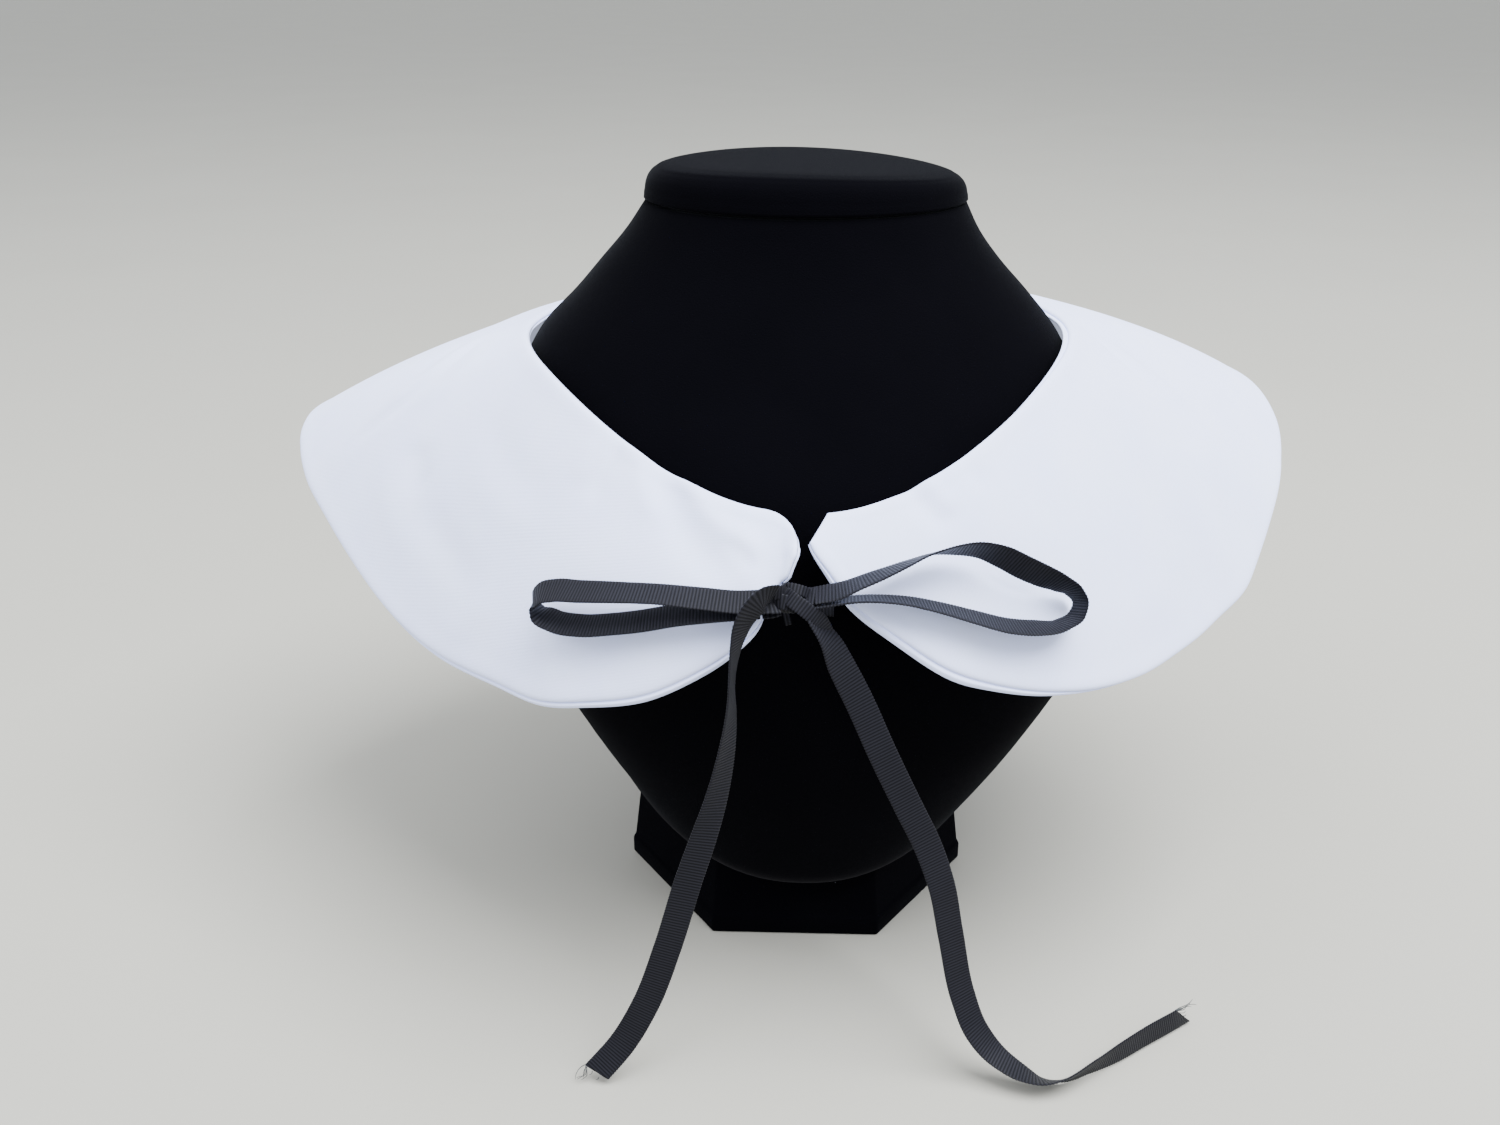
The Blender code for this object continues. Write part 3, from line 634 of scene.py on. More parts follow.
COLLAR_SECTIONS = [
    # turn, width, heading, drop, crown, edge_show, neck_show, trim
    (2.3, 10.3, 0.0, 30.0, 0.0, 0.1, 0.0, 7.6),
    (2.8, 12.0, -2.0, 32.0, 0.0, 0.2, 0.0, 5.0),
    (3.9, 14.0, -4.0, 38.0, 0.1, 0.3, 0.0, 2.2),
    (5.2, 16.8, -7.0, 43.5, 0.1, 0.3, 0.0, 0.7),
    (7.0, 18.4, -10.0, 47.5, 0.2, 0.4, 0.0, 0.0),
    (9.0, 22.3, -11.5, 50.0, 0.4, 0.5, 0.0, 0.0),
    (11.5, 28.6, -12.0, 51.0, 0.9, 0.8, 0.0, 0.0),
    (16.0, 36.8, -8.0, 54.5, 1.4, 1.3, 0.0, 0.0),
    (22.0, 45.7, -3.0, 58.0, 2.0, 1.7, 0.0, 0.0),
    (29.0, 55.6, 5.0, 60.0, 2.4, 1.8, 0.0, 0.0),
    (37.0, 64.2, 16.0, 62.0, 2.6, 1.6, 0.0, 0.0),
    (43.0, 70.2, 27.0, 63.0, 2.8, 1.5, 0.0, 0.0),
    (49.0, 73.2, 41.0, 63.0, 3.0, 1.4, 0.0, 0.0),
    (56.0, 76.7, 57.0, 60.5, 3.2, 1.2, 0.0, 0.0),
    (61.5, 78.4, 70.0, 57.5, 3.5, 0.8, 0.0, 0.0),
    (69.0, 78.2, 82.0, 50.0, 4.0, 0.1, 0.0, 0.0),
    (77.0, 78.2, 89.0, 41.0, 4.5, 0.0, 0.0, 0.0),
    (84.0, 78.0, 90.0, 32.5, 4.8, 0.0, 0.0, 0.0),
    (91.0, 78.0, 92.0, 26.5, 4.5, 0.0, 0.0, 0.0),
    (98.0, 78.0, 96.0, 24.0, 3.5, 0.0, 0.2, 0.0),
    (107.0, 78.0, 104.0, 24.0, 3.0, 0.0, 0.3, 0.0),
    (118.0, 78.0, 118.0, 26.0, 3.0, 0.0, 0.3, 0.0),
    (132.0, 78.0, 134.0, 29.0, 4.0, 0.0, 0.3, 0.0),
    (150.0, 78.0, 153.0, 32.0, 5.0, 0.0, 0.3, 0.0),
    (180.0, 78.0, 180.0, 34.0, 5.5, 0.0, 0.3, 0.0),
    (210.0, 78.0, 206.0, 31.0, 5.5, 0.0, 0.3, 0.0),
    (228.0, 78.0, 224.0, 26.0, 5.0, 0.0, 0.5, 0.0),
    (243.0, 79.0, 242.0, 20.5, 3.4, 0.0, 0.9, 0.0),
    (254.0, 79.6, 253.0, 21.0, 3.1, 0.0, 1.3, 0.0),
    (262.0, 79.8, 259.0, 25.0, 3.0, 0.0, 1.4, 0.0),
    (270.0, 79.4, 266.0, 32.0, 3.2, 0.0, 1.4, 0.0),
    (279.0, 79.9, 273.0, 40.0, 3.4, 0.0, 1.4, 0.0),
    (286.0, 81.4, 278.0, 46.0, 3.6, 0.0, 1.2, 0.0),
    (292.0, 81.8, 283.0, 50.0, 3.7, 0.0, 0.9, 0.0),
    (298.0, 80.3, 288.0, 54.5, 3.8, 0.0, 0.6, 0.0),
    (304.0, 77.1, 303.0, 57.0, 3.4, 0.0, 0.4, 0.0),
    (310.0, 74.5, 315.0, 58.5, 3.2, 0.0, 0.2, 0.0),
    (315.0, 71.0, 324.0, 59.5, 3.0, 0.4, 0.0, 0.0),
    (322.0, 63.8, 338.0, 59.0, 2.8, 1.2, 0.0, 0.0),
    (329.0, 55.0, 350.0, 58.0, 2.4, 1.8, 0.0, 0.0),
    (335.0, 47.3, 356.0, 56.0, 2.0, 2.2, 0.0, 0.0),
    (342.0, 34.8, 368.0, 52.0, 1.4, 2.0, 0.0, 0.0),
    (347.0, 26.2, 379.0, 47.0, 0.9, 1.6, 0.0, 0.0),
    (352.0, 17.0, 386.0, 38.0, 0.4, 0.9, 0.0, 0.0),
    (355.0, 12.0, 390.0, 32.0, 0.1, 0.4, 0.0, 0.0),
    (356.4, 9.6, 390.0, 29.0, 0.0, 0.2, 0.0, 0.0),
]
# Soft creases of the worn cloth. width: how far a crease spreads to either side; height:
# how far it stands out, less than nothing for a trough; then the points it runs through,
# as a place on the neckline (turn) and across the collar (0 neckline, 1 edge).
CREASES = [
    # width, height, [(turn, across), ...]
    (1.3, -0.75, [
        (98.0, 0.10), (91.0, 0.17), (86.0, 0.25), (83.0, 0.37), (82.0, 0.50), (82.0, 0.72), (82.5, 0.86),
    ]),
    (2.6, 0.75, [(95.0, 0.12), (88.5, 0.25), (85.0, 0.37), (83.9, 0.50), (83.9, 0.72)]),
    (1.6, -0.35, [(93.0, 0.22), (89.0, 0.33), (87.0, 0.46)]),
    (2.6, 0.45, [(84.0, 0.12), (80.5, 0.26), (79.5, 0.38), (79.6, 0.52)]),
    (4.8, -1.25, [(28.5, 0.0), (26.5, 0.10), (24.2, 0.22), (21.0, 0.36), (17.0, 0.50), (12.5, 0.66)]),
    (1.9, -0.45, [(16.5, 0.26), (13.8, 0.38), (12.0, 0.52), (9.5, 0.68)]),
    (3.0, 0.80, [(22.5, 0.0), (19.5, 0.12), (15.0, 0.25), (10.5, 0.42), (6.5, 0.62)]),
    (2.8, 0.50, [(33.0, 0.0), (31.0, 0.14), (27.0, 0.30)]),
    (2.2, -0.60, [(37.5, 0.0), (38.2, 0.10), (39.6, 0.18), (40.5, 0.30)]),
    (3.4, 0.35, [(42.0, 0.02), (43.0, 0.14), (44.0, 0.26)]),
    (5.0, -0.75, [(74.0, 0.50), (70.0, 0.58), (66.5, 0.62)]),
    (5.6, -0.60, [(68.0, 0.59), (62.5, 0.655), (58.8, 0.68), (52.0, 0.75)]),
    (5.5, 0.38, [(79.0, 0.62), (71.0, 0.74), (61.0, 0.80)]),
    (5.0, -0.34, [(70.0, 0.21), (61.5, 0.28), (54.0, 0.32), (45.0, 0.33)]),
    (5.6, -0.26, [(46.0, 0.22), (37.0, 0.27), (28.0, 0.33)]),
    (5.0, 0.26, [(66.0, 0.40), (56.0, 0.45), (45.0, 0.46)]),
    (3.0, 0.45, [(43.0, 1.0), (41.5, 0.85), (40.5, 0.70)]),
    (4.5, 0.40, [(57.0, 1.0), (53.5, 0.82), (51.0, 0.68)]),
    (1.2, -0.55, [(262.0, 0.07), (273.0, 0.13), (277.0, 0.25), (278.0, 0.38), (278.4, 0.52), (280.0, 0.74)]),
    (2.4, 0.48, [(267.0, 0.14), (273.5, 0.26), (275.0, 0.40), (275.4, 0.56)]),
    (4.0, -0.30, [(281.0, 0.33), (282.0, 0.48), (283.2, 0.64)]),
    (3.0, -0.65, [(341.0, 0.0), (339.0, 0.10), (336.0, 0.22), (333.0, 0.34)]),
    (2.6, 0.42, [(337.5, 0.0), (335.0, 0.12), (331.0, 0.24)]),
    (2.4, -0.35, [(329.0, 0.0), (328.0, 0.10), (324.0, 0.20)]),
    (5.5, -0.35, [(299.0, 0.92), (301.0, 0.80), (303.0, 0.66)]),
    (5.0, -0.28, [(289.0, 0.94), (286.5, 0.80), (285.0, 0.68)]),
    (6.0, 0.30, [(316.0, 0.86), (306.0, 0.78), (295.0, 0.74)]),
    (1.2, -0.35, [(113.0, 0.08), (110.5, 0.30), (108.5, 0.52)]),
    (3.6, 0.60, [(127.0, 0.04), (122.5, 0.30), (120.0, 0.60), (119.5, 0.86)]),
    (4.6, -0.70, [(149.0, 0.22), (146.0, 0.60), (143.0, 1.0)]),
    (4.0, 0.55, [(172.0, 0.02), (167.0, 0.35), (164.5, 0.82)]),
    (4.6, -0.75, [(191.0, 0.22), (196.0, 0.60), (199.0, 1.0)]),
    (3.6, 0.50, [(214.0, 0.04), (219.0, 0.40), (222.0, 0.78)]),
    (4.6, -0.50, [(234.0, 0.28), (238.0, 0.60), (241.0, 1.0)]),
]
EDGE_WAVES = [
    # turns_a_wave, phase, height
    (33.0, 0.6, 0.45),
    (21.0, 2.1, 0.25),
]
EDGE_WAVE_REACH = 16.0
SEAM_PUFF_REACH = 5.0
SEAM_PUFF_HEIGHT = 0.16
STRIP_RISE = 0.42
STRIP_MIDDLE = 0.48
STRIP_SPREAD = 0.34
LEAST_SPREAD = 0.01
STRIP_ROLLED_AT = 0.8


def neckline(turn):
    """Points of the neckline, an oval that dips at the front and rises at the back."""
    angle = np.radians(turn)
    forward = np.cos(angle)
    depth = np.where(forward > 0, NECK_FRONT, NECK_BACK)
    fall = -NECK_FRONT_FALL * np.abs(forward) ** NECK_FALL_POWER
    lift = np.where(forward > 0, fall, NECK_BACK_RISE)
    right = -np.sin(angle)
    half_width = np.where(right > 0, NECK_RIGHT_HALF_WIDTH, NECK_LEFT_HALF_WIDTH)
    return np.stack([
        NECK_MIDDLE_X + half_width * right,
        -depth * forward,
        NECK_SIDE_HEIGHT + lift * forward**2 + NECK_RIGHT_LIFT * np.maximum(right, 0.0) ** 2,
    ], axis=-1)


def close_at_rims(first, last, rim, count):
    """Even steps from first to last, with the closer steps of a rim at both ends."""
    rim = np.array(rim)
    between = np.linspace(first + rim[-1], last - rim[-1], count)[1:-1]
    return np.concatenate([first + rim, between, last - rim[::-1]])


turns = close_at_rims(COLLAR_SECTIONS[0][0], COLLAR_SECTIONS[-1][0], RIM_TURNS, STATIONS)
shares = close_at_rims(0.0, 1.0, RIM_SHARES, ACROSS)


def lay_collar(neck_share, edge_share):
    """The collar's outer face in millimetres, station by station from neckline to edge."""
    turn, width, heading, drop, crown, edge_show, neck_show, trim = read_table(COLLAR_SECTIONS, turns).T
    heading = np.radians(heading)
    drop = np.radians(drop)
    level = np.stack([-np.sin(heading), -np.cos(heading), np.zeros_like(heading)], axis=-1)
    rise = np.array([0.0, 0.0, 1.0])
    along = level * np.cos(drop)[:, None] - rise * np.sin(drop)[:, None]
    outward = level * np.sin(drop)[:, None] + rise * np.cos(drop)[:, None]
    start = neckline(turn)
    first = (trim - neck_share * neck_show) / width
    last = 1.0 + edge_share * edge_show / width
    rows = []
    for share in shares:
        v = (first + (last - first) * share)[:, None]
        bulge = 4.0 * crown[:, None] * v * (1.0 - v)
        rows.append(start + along * width[:, None] * v + outward * bulge)
    return np.stack(rows, axis=1)


def flatten(grid):
    """The pattern piece: the collar rolled out flat, one narrow strip after another."""
    neck, edge = grid[:, 0], grid[:, -1]
    flat_neck = [np.array([0.0, 0.0])]
    flat_edge = [np.array([0.0, np.linalg.norm(edge[0] - neck[0])])]
    for k in range(1, len(grid)):
        a, b = flat_neck[-1], flat_edge[-1]
        slanting = np.linalg.norm(edge[k] - neck[k - 1])
        outer = place_third(a, b, slanting, np.linalg.norm(edge[k] - edge[k - 1]))
        neck_step = np.linalg.norm(neck[k] - neck[k - 1])
        inner = place_third(a, outer, neck_step, np.linalg.norm(edge[k] - neck[k]))
        flat_edge.append(outer)
        flat_neck.append(inner)
    flat_neck, flat_edge = np.array(flat_neck), np.array(flat_edge)
    flat = flat_neck[:, None] + (flat_edge - flat_neck)[:, None] * shares[None, :, None]
    back = flat[len(flat) // 2, -1] - flat[len(flat) // 2, 0]
    turn = math.atan2(back[0], back[1])
    spin = np.array([[math.cos(turn), math.sin(turn)], [-math.sin(turn), math.cos(turn)]])
    return flat @ spin


def place_third(a, b, from_a, from_b):
    """The third corner of a triangle on a-b, on its clockwise side."""
    base = b - a
    gap = np.linalg.norm(base)
    along = (from_a**2 - from_b**2 + gap**2) / (2 * gap)
    off = math.sqrt(max(from_a**2 - along**2, 0.0))
    ahead = base / gap
    return a + ahead * along + np.array([ahead[1], -ahead[0]]) * off


def crease_heights(flat):
    """How far the cloth stands off its plain form, in millimetres."""
    height = np.zeros(flat.shape[:2])
    for width, rise, points in CREASES:
        spots = []
        for turn, across in points:
            i = np.interp(turn, turns, np.arange(len(turns)))
            low, part = int(i), i - int(i)
            high = min(low + 1, len(turns) - 1)
            row = flat[low] * (1.0 - part) + flat[high] * part
            spots.append([np.interp(across, shares, row[:, 0]), np.interp(across, shares, row[:, 1])])
        spots = np.array(spots)
        run = np.concatenate([[0.0], np.cumsum(np.linalg.norm(np.diff(spots, axis=0), axis=1))])
        at = np.linspace(0.0, run[-1], CREASE_STOPS)
        line = read_table(np.column_stack([run, spots]), at)[:, 1:]
        away = np.linalg.norm(flat[:, :, None] - line, axis=-1)
        nearest = np.argmin(away, axis=-1)
        s = at[nearest] / run[-1]
        fade = np.ones_like(s)
        if points[0][1] > 0.0:
            fade = np.minimum(fade, s / CREASE_FADE)
        if points[-1][1] < 1.0:
            fade = np.minimum(fade, (1.0 - s) / CREASE_FADE)
        fade = np.clip(fade, 0.0, 1.0)
        height += rise * fade * fade * (3 - 2 * fade) * np.exp(-((np.min(away, axis=-1) / width) ** 2))
    return height


def cloth_layer(name, grid, flat, depth, heights, top_roll, low_roll, strip):
    """A thin closed shell whose outer face lies depth under the grid. Its rim rolls down:
    top_roll and low_roll say how far its two faces sink there, station by station. Where
    strip isn't nothing, a strip of that width along the edge bulges up."""
    along = np.gradient(grid, axis=0)
    across = np.gradient(grid, axis=1)
    normals = unit(np.cross(along, across))
    from_neck = np.linalg.norm(grid - grid[:, :1], axis=-1)
    from_edge = np.linalg.norm(grid - grid[:, -1:], axis=-1)
    steps = np.linalg.norm(np.diff(grid, axis=0), axis=-1)
    from_start = np.concatenate([np.zeros((1, grid.shape[1])), np.cumsum(steps, axis=0)])
    from_side = np.minimum(from_start, from_start[-1:] - from_start)
    inside = np.minimum(np.minimum(from_neck, from_edge), from_side)
    rim = 1.0 - np.clip(inside / EDGE_REACH, 0.0, 1.0)
    roll = 1.0 - np.sqrt(np.maximum(1.0 - rim**2, 0.0))
    puff = SEAM_PUFF_HEIGHT * np.sin(math.pi * np.clip(inside / SEAM_PUFF_REACH, 0.0, 1.0)) ** 2
    lift = heights + puff
    wave_share = np.exp(-from_edge / EDGE_WAVE_REACH)
    for span, phase, high in EDGE_WAVES:
        lift = lift + wave_share * high * np.sin(2 * math.pi * turns[:, None] / span + phase)
    strip = strip[:, None]
    spread = STRIP_SPREAD * strip + LEAST_SPREAD
    bulge = np.exp(-(((from_edge - STRIP_MIDDLE * strip) / spread) ** 2)) * np.clip(strip, 0.0, 1.0)
    top = grid + normals * (lift - depth - roll * top_roll[:, None] + STRIP_RISE * bulge)[..., None]
    low = grid + normals * (lift - depth - CLOTH_WALL - roll * low_roll[:, None])[..., None]
    rows, columns = grid.shape[:2]
    points = np.concatenate([top.reshape(-1, 3), low.reshape(-1, 3)]) * MM
    half = rows * columns
    faces = []
    for i in range(rows - 1):
        for j in range(columns - 1):
            a, b = i * columns + j, (i + 1) * columns + j
            faces.append((a, b, b + 1, a + 1))
            faces.append((half + a, half + a + 1, half + b + 1, half + b))
        a, b = i * columns, (i + 1) * columns
        faces.append((a, half + a, half + b, b))
        a, b = a + columns - 1, b + columns - 1
        faces.append((a, b, half + b, half + a))
    for j in range(columns - 1):
        faces.append((j, j + 1, half + j + 1, half + j))
        a = (rows - 1) * columns + j
        faces.append((a, half + a, half + a + 1, a + 1))
    mesh = bpy.data.meshes.new(name)
    mesh.from_pydata([tuple(p) for p in points], [], faces)
    layer = mesh.uv_layers.new(name="pattern")
    spots = np.concatenate([flat.reshape(-1, 2), flat.reshape(-1, 2)]) * MM
    corner = np.empty(len(mesh.loops), dtype=np.int32)
    mesh.loops.foreach_get("vertex_index", corner)
    layer.data.foreach_set("uv", spots[corner].ravel())
    return add_piece(name, mesh)


def cotton_finish():
    """Fine bluish white twill: threads at 0.3 mm, slight slubs and faint pressing tone."""
    finish = Finish("white_cotton", Specular_IOR_Level=0.25, Sheen_Weight=0.15, Sheen_Roughness=0.6)
    pattern = finish.uv("pattern")
    weft, warp, _ = finish.split(pattern)
    pitch = 2 * math.pi / THREAD_PITCH
    slub = finish.noise(pattern, scale=1400.0)
    twill = 0.5 + 0.5 * ((weft + warp) * (pitch * 0.7) + slub * 2.0).sine()
    threads = (weft * pitch).sine().size() * 0.5 + (warp * pitch).sine().size() * 0.5
    tone = finish.noise(pattern, scale=55.0, detail=4.0, roughness=0.6)
    grain = finish.noise(pattern, scale=5200.0)
    shade = tone.rising(low=0.25, high=0.75) * 0.6 + twill * 0.2 + grain * 0.2
    colour = finish.blend(shade, COTTON_SHADE, COTTON_WHITE)
    fleck = finish.flecks(pattern, scale=70.0, inner=0.010, outer=0.022, rarity=0.82)
    finish.feed("Base Color", finish.blend(fleck * 0.5, colour, COTTON_FLECK))
    finish.feed("Roughness", 0.86 + 0.08 * tone)
    finish.bump(twill * 0.45 + threads * 0.35 + slub * 0.2, distance=0.00004)
    return finish.material


cotton = cotton_finish()
collar_grid = lay_collar(0.0, 0.0)
collar_flat = flatten(collar_grid)
creases = crease_heights(collar_flat)
edge_show = np.maximum(read_table(COLLAR_SECTIONS, turns)[:, 5], 0.0)
shown = np.clip(edge_show / STRIP_ROLLED_AT, 0.0, 1.0)
top_roll, low_roll = [np.full_like(shown, roll) for roll in UPPER_EDGE_ROLL]
upper = cloth_layer("cotton_upper_collar", collar_grid, collar_flat, 0.0, creases,
                    top_roll, low_roll, np.zeros_like(shown))
top_roll, low_roll = [
    joined + (rolled - joined) * shown for joined, rolled in zip(JOINED_EDGE_ROLL, UNDER_EDGE_ROLL)
]
under = cloth_layer("cotton_under_collar", lay_collar(1.0, 1.0), collar_flat, CLOTH_WALL + LAYER_GAP,
                    creases, top_roll, low_roll, edge_show)
for piece, node in ((upper, "upper_collar"), (under, "under_collar")):
    piece.data.materials.append(cotton)
    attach(piece, "root")
    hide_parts(node)

# Display
# A limbless neck and chest form covered in short black velvet, glued over a light core,
# with an oval cap on the neck and a six-sided foot, all covered in the same velvet.
BUST_SIDES = 128
BUST_STEP = 0.2
DISPLAY_TURN = math.radians(-2.0)
BUST_RINGS = [
    # level, half_width, front, back, z_front, z_side, z_back, square, middle_x
    (0.0, 48.5, 42.0, 41.0, 40.3, 40.3, 40.3, 3.4, 0.0),
    (1.0, 60.0, 46.0, 42.5, 27.0, 63.0, 45.0, 2.6, 0.5),
    (2.0, 65.8, 48.5, 42.5, 22.2, 70.0, 46.5, 2.3, 1.5),
    (3.0, 67.9, 50.5, 43.5, 23.6, 72.0, 48.0, 2.2, 2.0),
    (4.0, 76.2, 58.0, 47.0, 38.0, 80.0, 58.0, 2.1, 2.5),
    (5.0, 84.2, 67.5, 51.0, 62.0, 94.0, 76.0, 2.1, 2.5),
    (6.0, 87.5, 74.0, 53.5, 88.0, 109.0, 98.0, 2.1, 1.5),
    (7.0, 89.5, 76.0, 54.5, 110.0, 124.0, 120.0, 2.1, 0.5),
    (8.0, 88.0, 74.0, 54.0, 127.0, 139.0, 139.0, 2.1, 0.0),
    (9.0, 83.5, 70.0, 52.0, 140.0, 151.5, 155.0, 2.05, -0.5),
    (10.0, 76.3, 63.0, 48.5, 151.0, 162.5, 167.0, 2.0, -1.4),
    (11.0, 70.2, 54.0, 45.0, 164.0, 172.5, 176.0, 2.0, -1.5),
    (12.0, 62.0, 46.5, 41.5, 177.0, 181.5, 184.0, 2.0, -0.8),
    (13.0, 54.3, 40.5, 38.5, 188.0, 190.0, 191.5, 2.0, -1.0),
    (14.0, 47.7, 36.5, 36.0, 197.5, 198.0, 198.5, 2.0, -0.6),
    (15.0, 42.8, 33.8, 33.8, 206.0, 206.0, 206.0, 2.0, 0.1),
]
# A narrow band round the chest's lower rim gets a lighter velvet colour. It is a painted highlight, where
# the nap catches light at the edge.
PAINTED_HIGHLIGHT_LEVEL = 2.6
PAINTED_HIGHLIGHT_BAND = 0.35
VELVET_DEEP = (0.0005, 0.0005, 0.0010, 1.0)
VELVET_NAP = (0.0012, 0.0011, 0.0020, 1.0)
VELVET_PAINTED_HIGHLIGHT = (0.017, 0.016, 0.018, 1.0)
VELVET_LINT = (0.30, 0.32, 0.36, 1.0)


def turned(x, y, z):
    """A point of the display, which stands turned a little on the table."""
    return Vector((
        x * math.cos(DISPLAY_TURN) - y * math.sin(DISPLAY_TURN),
        x * math.sin(DISPLAY_TURN) + y * math.cos(DISPLAY_TURN),
        z,
    )) * MM


def velvet_finish():
    """Short dense pile, almost black, paler where it is seen along the surface, with a painted highlight
    along the chest's lower rim.
    """
    finish = Finish("black_velvet", Specular_IOR_Level=0.02, Sheen_Weight=0.021, Sheen_Roughness=0.3,
                    Sheen_Tint=(0.85, 0.9, 1.0, 1.0))
    place = finish.place()
    nap = finish.noise(place, scale=38.0, detail=3.0, roughness=0.6)
    pile = finish.noise(place, scale=2600.0)
    painted_highlight = finish.node("ShaderNodeAttribute", {"attribute_name": "painted_highlight"})["Fac"]
    colour = finish.blend(nap * 0.7 + pile * 0.3, VELVET_DEEP, VELVET_NAP)
    # Painted highlight: lighter velvet mixed in along the band at the chest's lower rim.
    colour = finish.blend(painted_highlight * (0.5 + 0.5 * pile), colour, VELVET_PAINTED_HIGHLIGHT)
    lint = finish.flecks(place, scale=95.0, inner=0.012, outer=0.03, rarity=0.9)
    finish.feed("Base Color", finish.blend(lint * 0.35, colour, VELVET_LINT))
    finish.feed("Roughness", 0.9 + 0.1 * pile)
    finish.bump(pile * 0.7 + nap * 0.3, distance=0.0003, strength=0.6)
    return finish.material


velvet = velvet_finish()
levels = np.arange(0.0, BUST_RINGS[-1][0] + BUST_STEP / 2, BUST_STEP)
bm = bmesh.new()
painted_highlight = bm.verts.layers.float.new("painted_highlight")
rings = []
for ring in read_table(BUST_RINGS, levels):
    level, half_width, front, back, z_front, z_side, z_back, square, middle_x = ring
    verts = []
    for k in range(BUST_SIDES):
        angle = 2.0 * math.pi * k / BUST_SIDES
        side, forward = math.sin(angle), math.cos(angle)
        power = 2.0 / square
        depth = front if forward > 0 else back
        z_end = z_front if forward > 0 else z_back
        x = middle_x + half_width * math.copysign(abs(side) ** power, side)
        y = -depth * math.copysign(abs(forward) ** power, forward)
        vert = bm.verts.new(turned(x, y, z_side + (z_end - z_side) * forward**2))
        # Strength of the painted rim highlight, greatest at the chest's lower rim.
        vert[painted_highlight] = math.exp(-(((level - PAINTED_HIGHLIGHT_LEVEL) / PAINTED_HIGHLIGHT_BAND) ** 2))
        verts.append(vert)
    rings.append(verts)
for low, high in zip(rings, rings[1:]):
    for k in range(BUST_SIDES):
        n = (k + 1) % BUST_SIDES
        bm.faces.new((low[k], low[n], high[n], high[k]))
bm.faces.new(rings[0][::-1])
bm.faces.new(rings[-1])
bust = add_piece("velvet_bust", mesh_from("velvet_bust", bm))
bust.data.set_sharp_from_angle(angle=math.radians(60))

# Cap of the display
# A padded oval board pressed on the neck; its velvet is folded over the rim and glued
# under it, so the rim is round and stands a little proud of the neck. It leans a little
# to one side, and its padding thins out towards its two ends.
CAP_HALF_WIDTH = 43.1
CAP_HALF_DEPTH = 34.2
CAP_MIDDLE_X = 0.1
CAP_RINGS = [
    # height over the seam, share of the oval
    (0.3, 0.965),
    (0.6, 0.992),
    (1.6, 1.0),
    (3.2, 0.995),
    (5.2, 0.985),
    (6.8, 0.965),
    (8.0, 0.93),
    (8.7, 0.88),
    (9.0, 0.8),
]
CAP_SEAM = 206.0
CAP_STEPS = 26
CAP_FLAT_SHARES = [0.65, 0.4, 0.15]
CAP_TOP_RISE = 1.1
CAP_TOP_LEAN = 0.025
CAP_END_DROOP = 2.0
CAP_SIDES = 128


def build_up(rings, centre):
    """Extrudes the selected face up, from each row of height and share to the next."""
    for (low, share), (high, next_share) in zip(rings, rings[1:]):
        bpy.ops.mesh.extrude_region_move(TRANSFORM_OT_translate={"value": (0.0, 0.0, (high - low) * MM)})
        grow = next_share / share
        bpy.ops.transform.resize(value=(grow, grow, 1.0), center_override=centre)
    bpy.ops.mesh.select_all(action="SELECT")
    bpy.ops.mesh.normals_make_consistent(inside=False)
    bpy.ops.object.mode_set(mode="OBJECT")


cap_low, cap_share = CAP_RINGS[0]
cap_high = CAP_RINGS[-1][0]
cap_middle = turned(CAP_MIDDLE_X, 0.0, CAP_SEAM + cap_low)
bpy.ops.object.select_all(action="DESELECT")
bpy.ops.mesh.primitive_circle_add(vertices=CAP_SIDES, radius=1.0, fill_type="NGON")
cap = bpy.context.object
cap.name = "velvet_cap"
cap.scale = (CAP_HALF_WIDTH * cap_share * MM, CAP_HALF_DEPTH * cap_share * MM, 1.0)
cap.rotation_euler = (0.0, 0.0, DISPLAY_TURN)
cap.location = cap_middle
bpy.ops.object.transform_apply(location=True, rotation=True, scale=True)
bpy.ops.object.mode_set(mode="EDIT")
bpy.ops.mesh.select_all(action="SELECT")
bpy.ops.mesh.flip_normals()
heights = cap_low + (cap_high - cap_low) * np.sin(np.linspace(0.0, math.pi / 2, CAP_STEPS))
profile = [tuple(row) for row in read_table(CAP_RINGS, heights)]
profile += [(cap_high, share) for share in CAP_FLAT_SHARES]
build_up(profile, cap_middle)
bpy.ops.object.shade_smooth()
for vert in cap.data.vertices:
    share = (vert.co.z - cap_middle.z) / ((cap_high - cap_low) * MM)
    droop = CAP_END_DROOP * MM * (vert.co.x / (CAP_HALF_WIDTH * MM)) ** 2
    vert.co.z += share * (CAP_TOP_RISE * MM - CAP_TOP_LEAN * vert.co.x - droop)

# Foot of the display
# A six-sided foot, wrapped in velvet, a little wider at the floor, with its corners
# rounded by the pile.
FOOT_RINGS = [
    # height, share of the outline at the floor
    (0.0, 1.0),
    (5.6, 1.0),
    (6.6, 0.985),
    (40.0, 0.905),
]
FOOT_CORNERS = [
    # x, y
    (24.2, -43.9),
    (52.1, -2.8),
    (24.2, 43.9),
    (-24.2, 43.9),
    (-52.1, -2.8),
    (-24.2, -43.9),
]
FOOT_START_RADIUS = 0.05
PILE_ROUNDING = 1.5
bpy.ops.object.select_all(action="DESELECT")
bpy.ops.mesh.primitive_circle_add(vertices=len(FOOT_CORNERS), radius=FOOT_START_RADIUS, fill_type="NGON",
                                  rotation=(0.0, 0.0, math.radians(30)))
foot = bpy.context.object
foot.name = "velvet_foot"
bpy.ops.object.transform_apply(location=True, rotation=True, scale=True)
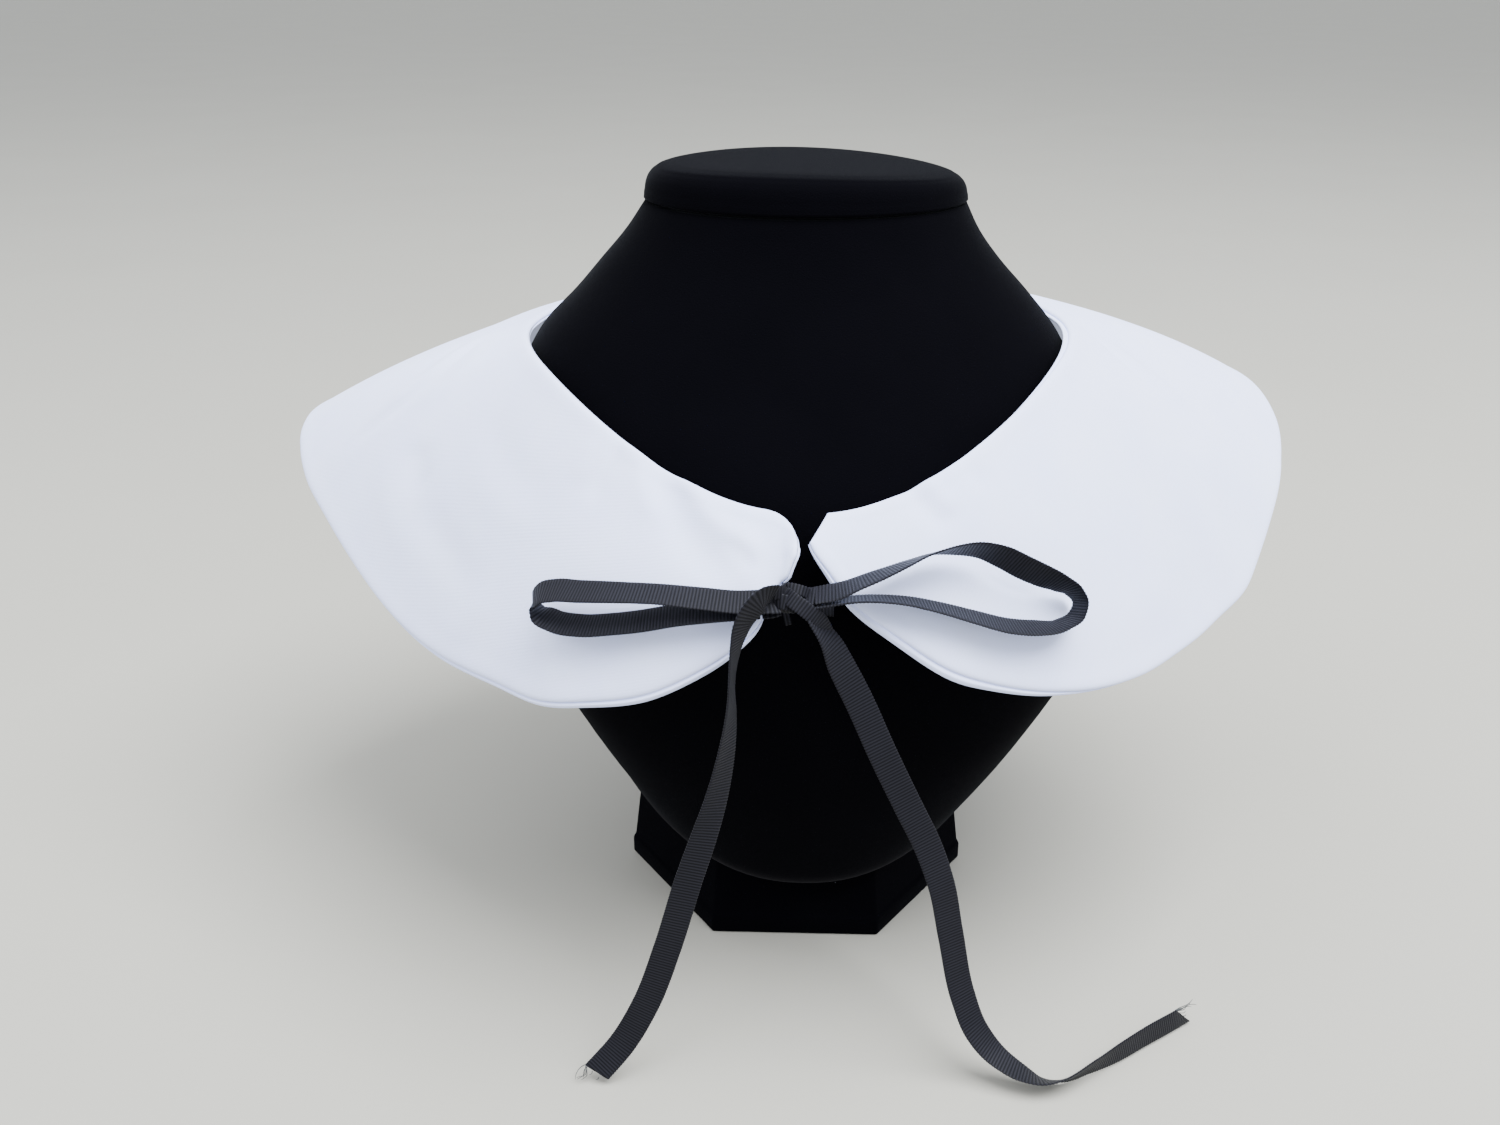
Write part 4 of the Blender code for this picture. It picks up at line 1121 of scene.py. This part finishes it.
for vert in foot.data.vertices:
    corner = min(FOOT_CORNERS, key=lambda spot: (vert.co.xy.normalized() - Vector(spot).normalized()).length)
    vert.co = turned(*corner, 0.0)
bpy.ops.object.mode_set(mode="EDIT")
bpy.ops.mesh.select_all(action="SELECT")
build_up(FOOT_RINGS, (0.0, 0.0, 0.0))
rounding = foot.modifiers.new("pile rounding", "BEVEL")
rounding.width = PILE_ROUNDING * MM
rounding.segments = 4
rounding.limit_method = "ANGLE"
rounding.angle_limit = math.radians(25)
bpy.ops.object.modifier_apply(modifier=rounding.name)
bpy.ops.object.shade_smooth_by_angle(angle=math.radians(35))

for piece, node in ((bust, "display_bust"), (cap, "display_cap"), (foot, "display_foot")):
    piece.data.materials.clear()
    piece.data.materials.append(velvet)
    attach(piece, "root")
    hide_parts(node)

# Floor and light
# A plain pale floor a hair under the foot, two broad soft lights high up in front, the
# stronger one on the right, and an even sky.
FLOOR_SIZE = 30.0
FLOOR_HEIGHT = -0.0002
FLOOR_DARK = (0.309, 0.298, 0.262, 1.0)
FLOOR_PALE = (0.328, 0.316, 0.280, 1.0)
LIGHTS = [
    # name, place, size, power
    ("window_light", (0.60, -0.45, 1.7), 1.3, 122.0),
    ("sky_fill", (-0.9, -0.5, 1.5), 1.6, 30.0),
]
LIGHTS_AIM = (0.0, 0.0, 0.1)
LIGHT_COLOUR = (0.93, 0.965, 1.0)
SKY_COLOUR = (0.88, 0.93, 1.0, 1.0)
SKY_STRENGTH = 1.67
bpy.ops.object.select_all(action="DESELECT")
bpy.ops.mesh.primitive_plane_add(size=FLOOR_SIZE, location=(0.0, 0.0, FLOOR_HEIGHT))
floor = bpy.context.object
floor.name = "pale_floor"
floor_finish = Finish("pale_floor", Roughness=0.9, Specular_IOR_Level=0.2)
floor_tone = floor_finish.noise(floor_finish.place(), scale=6.0, detail=3.0)
floor_finish.feed("Base Color", floor_finish.blend(floor_tone, FLOOR_DARK, FLOOR_PALE))
floor.data.materials.append(floor_finish.material)

for name, place, size, power in LIGHTS:
    lamp = bpy.data.objects.new(name, bpy.data.lights.new(name, "AREA"))
    lamp.data.energy = power
    lamp.data.size = size
    lamp.data.color = LIGHT_COLOUR
    lamp.location = place
    lamp.rotation_euler = (Vector(LIGHTS_AIM) - Vector(place)).to_track_quat("-Z", "Y").to_euler()
    bpy.context.scene.collection.objects.link(lamp)
world = bpy.data.worlds.new("soft_sky")
world.use_nodes = True
world.node_tree.nodes["Background"].inputs["Color"].default_value = SKY_COLOUR
world.node_tree.nodes["Background"].inputs["Strength"].default_value = SKY_STRENGTH
bpy.context.scene.world = world
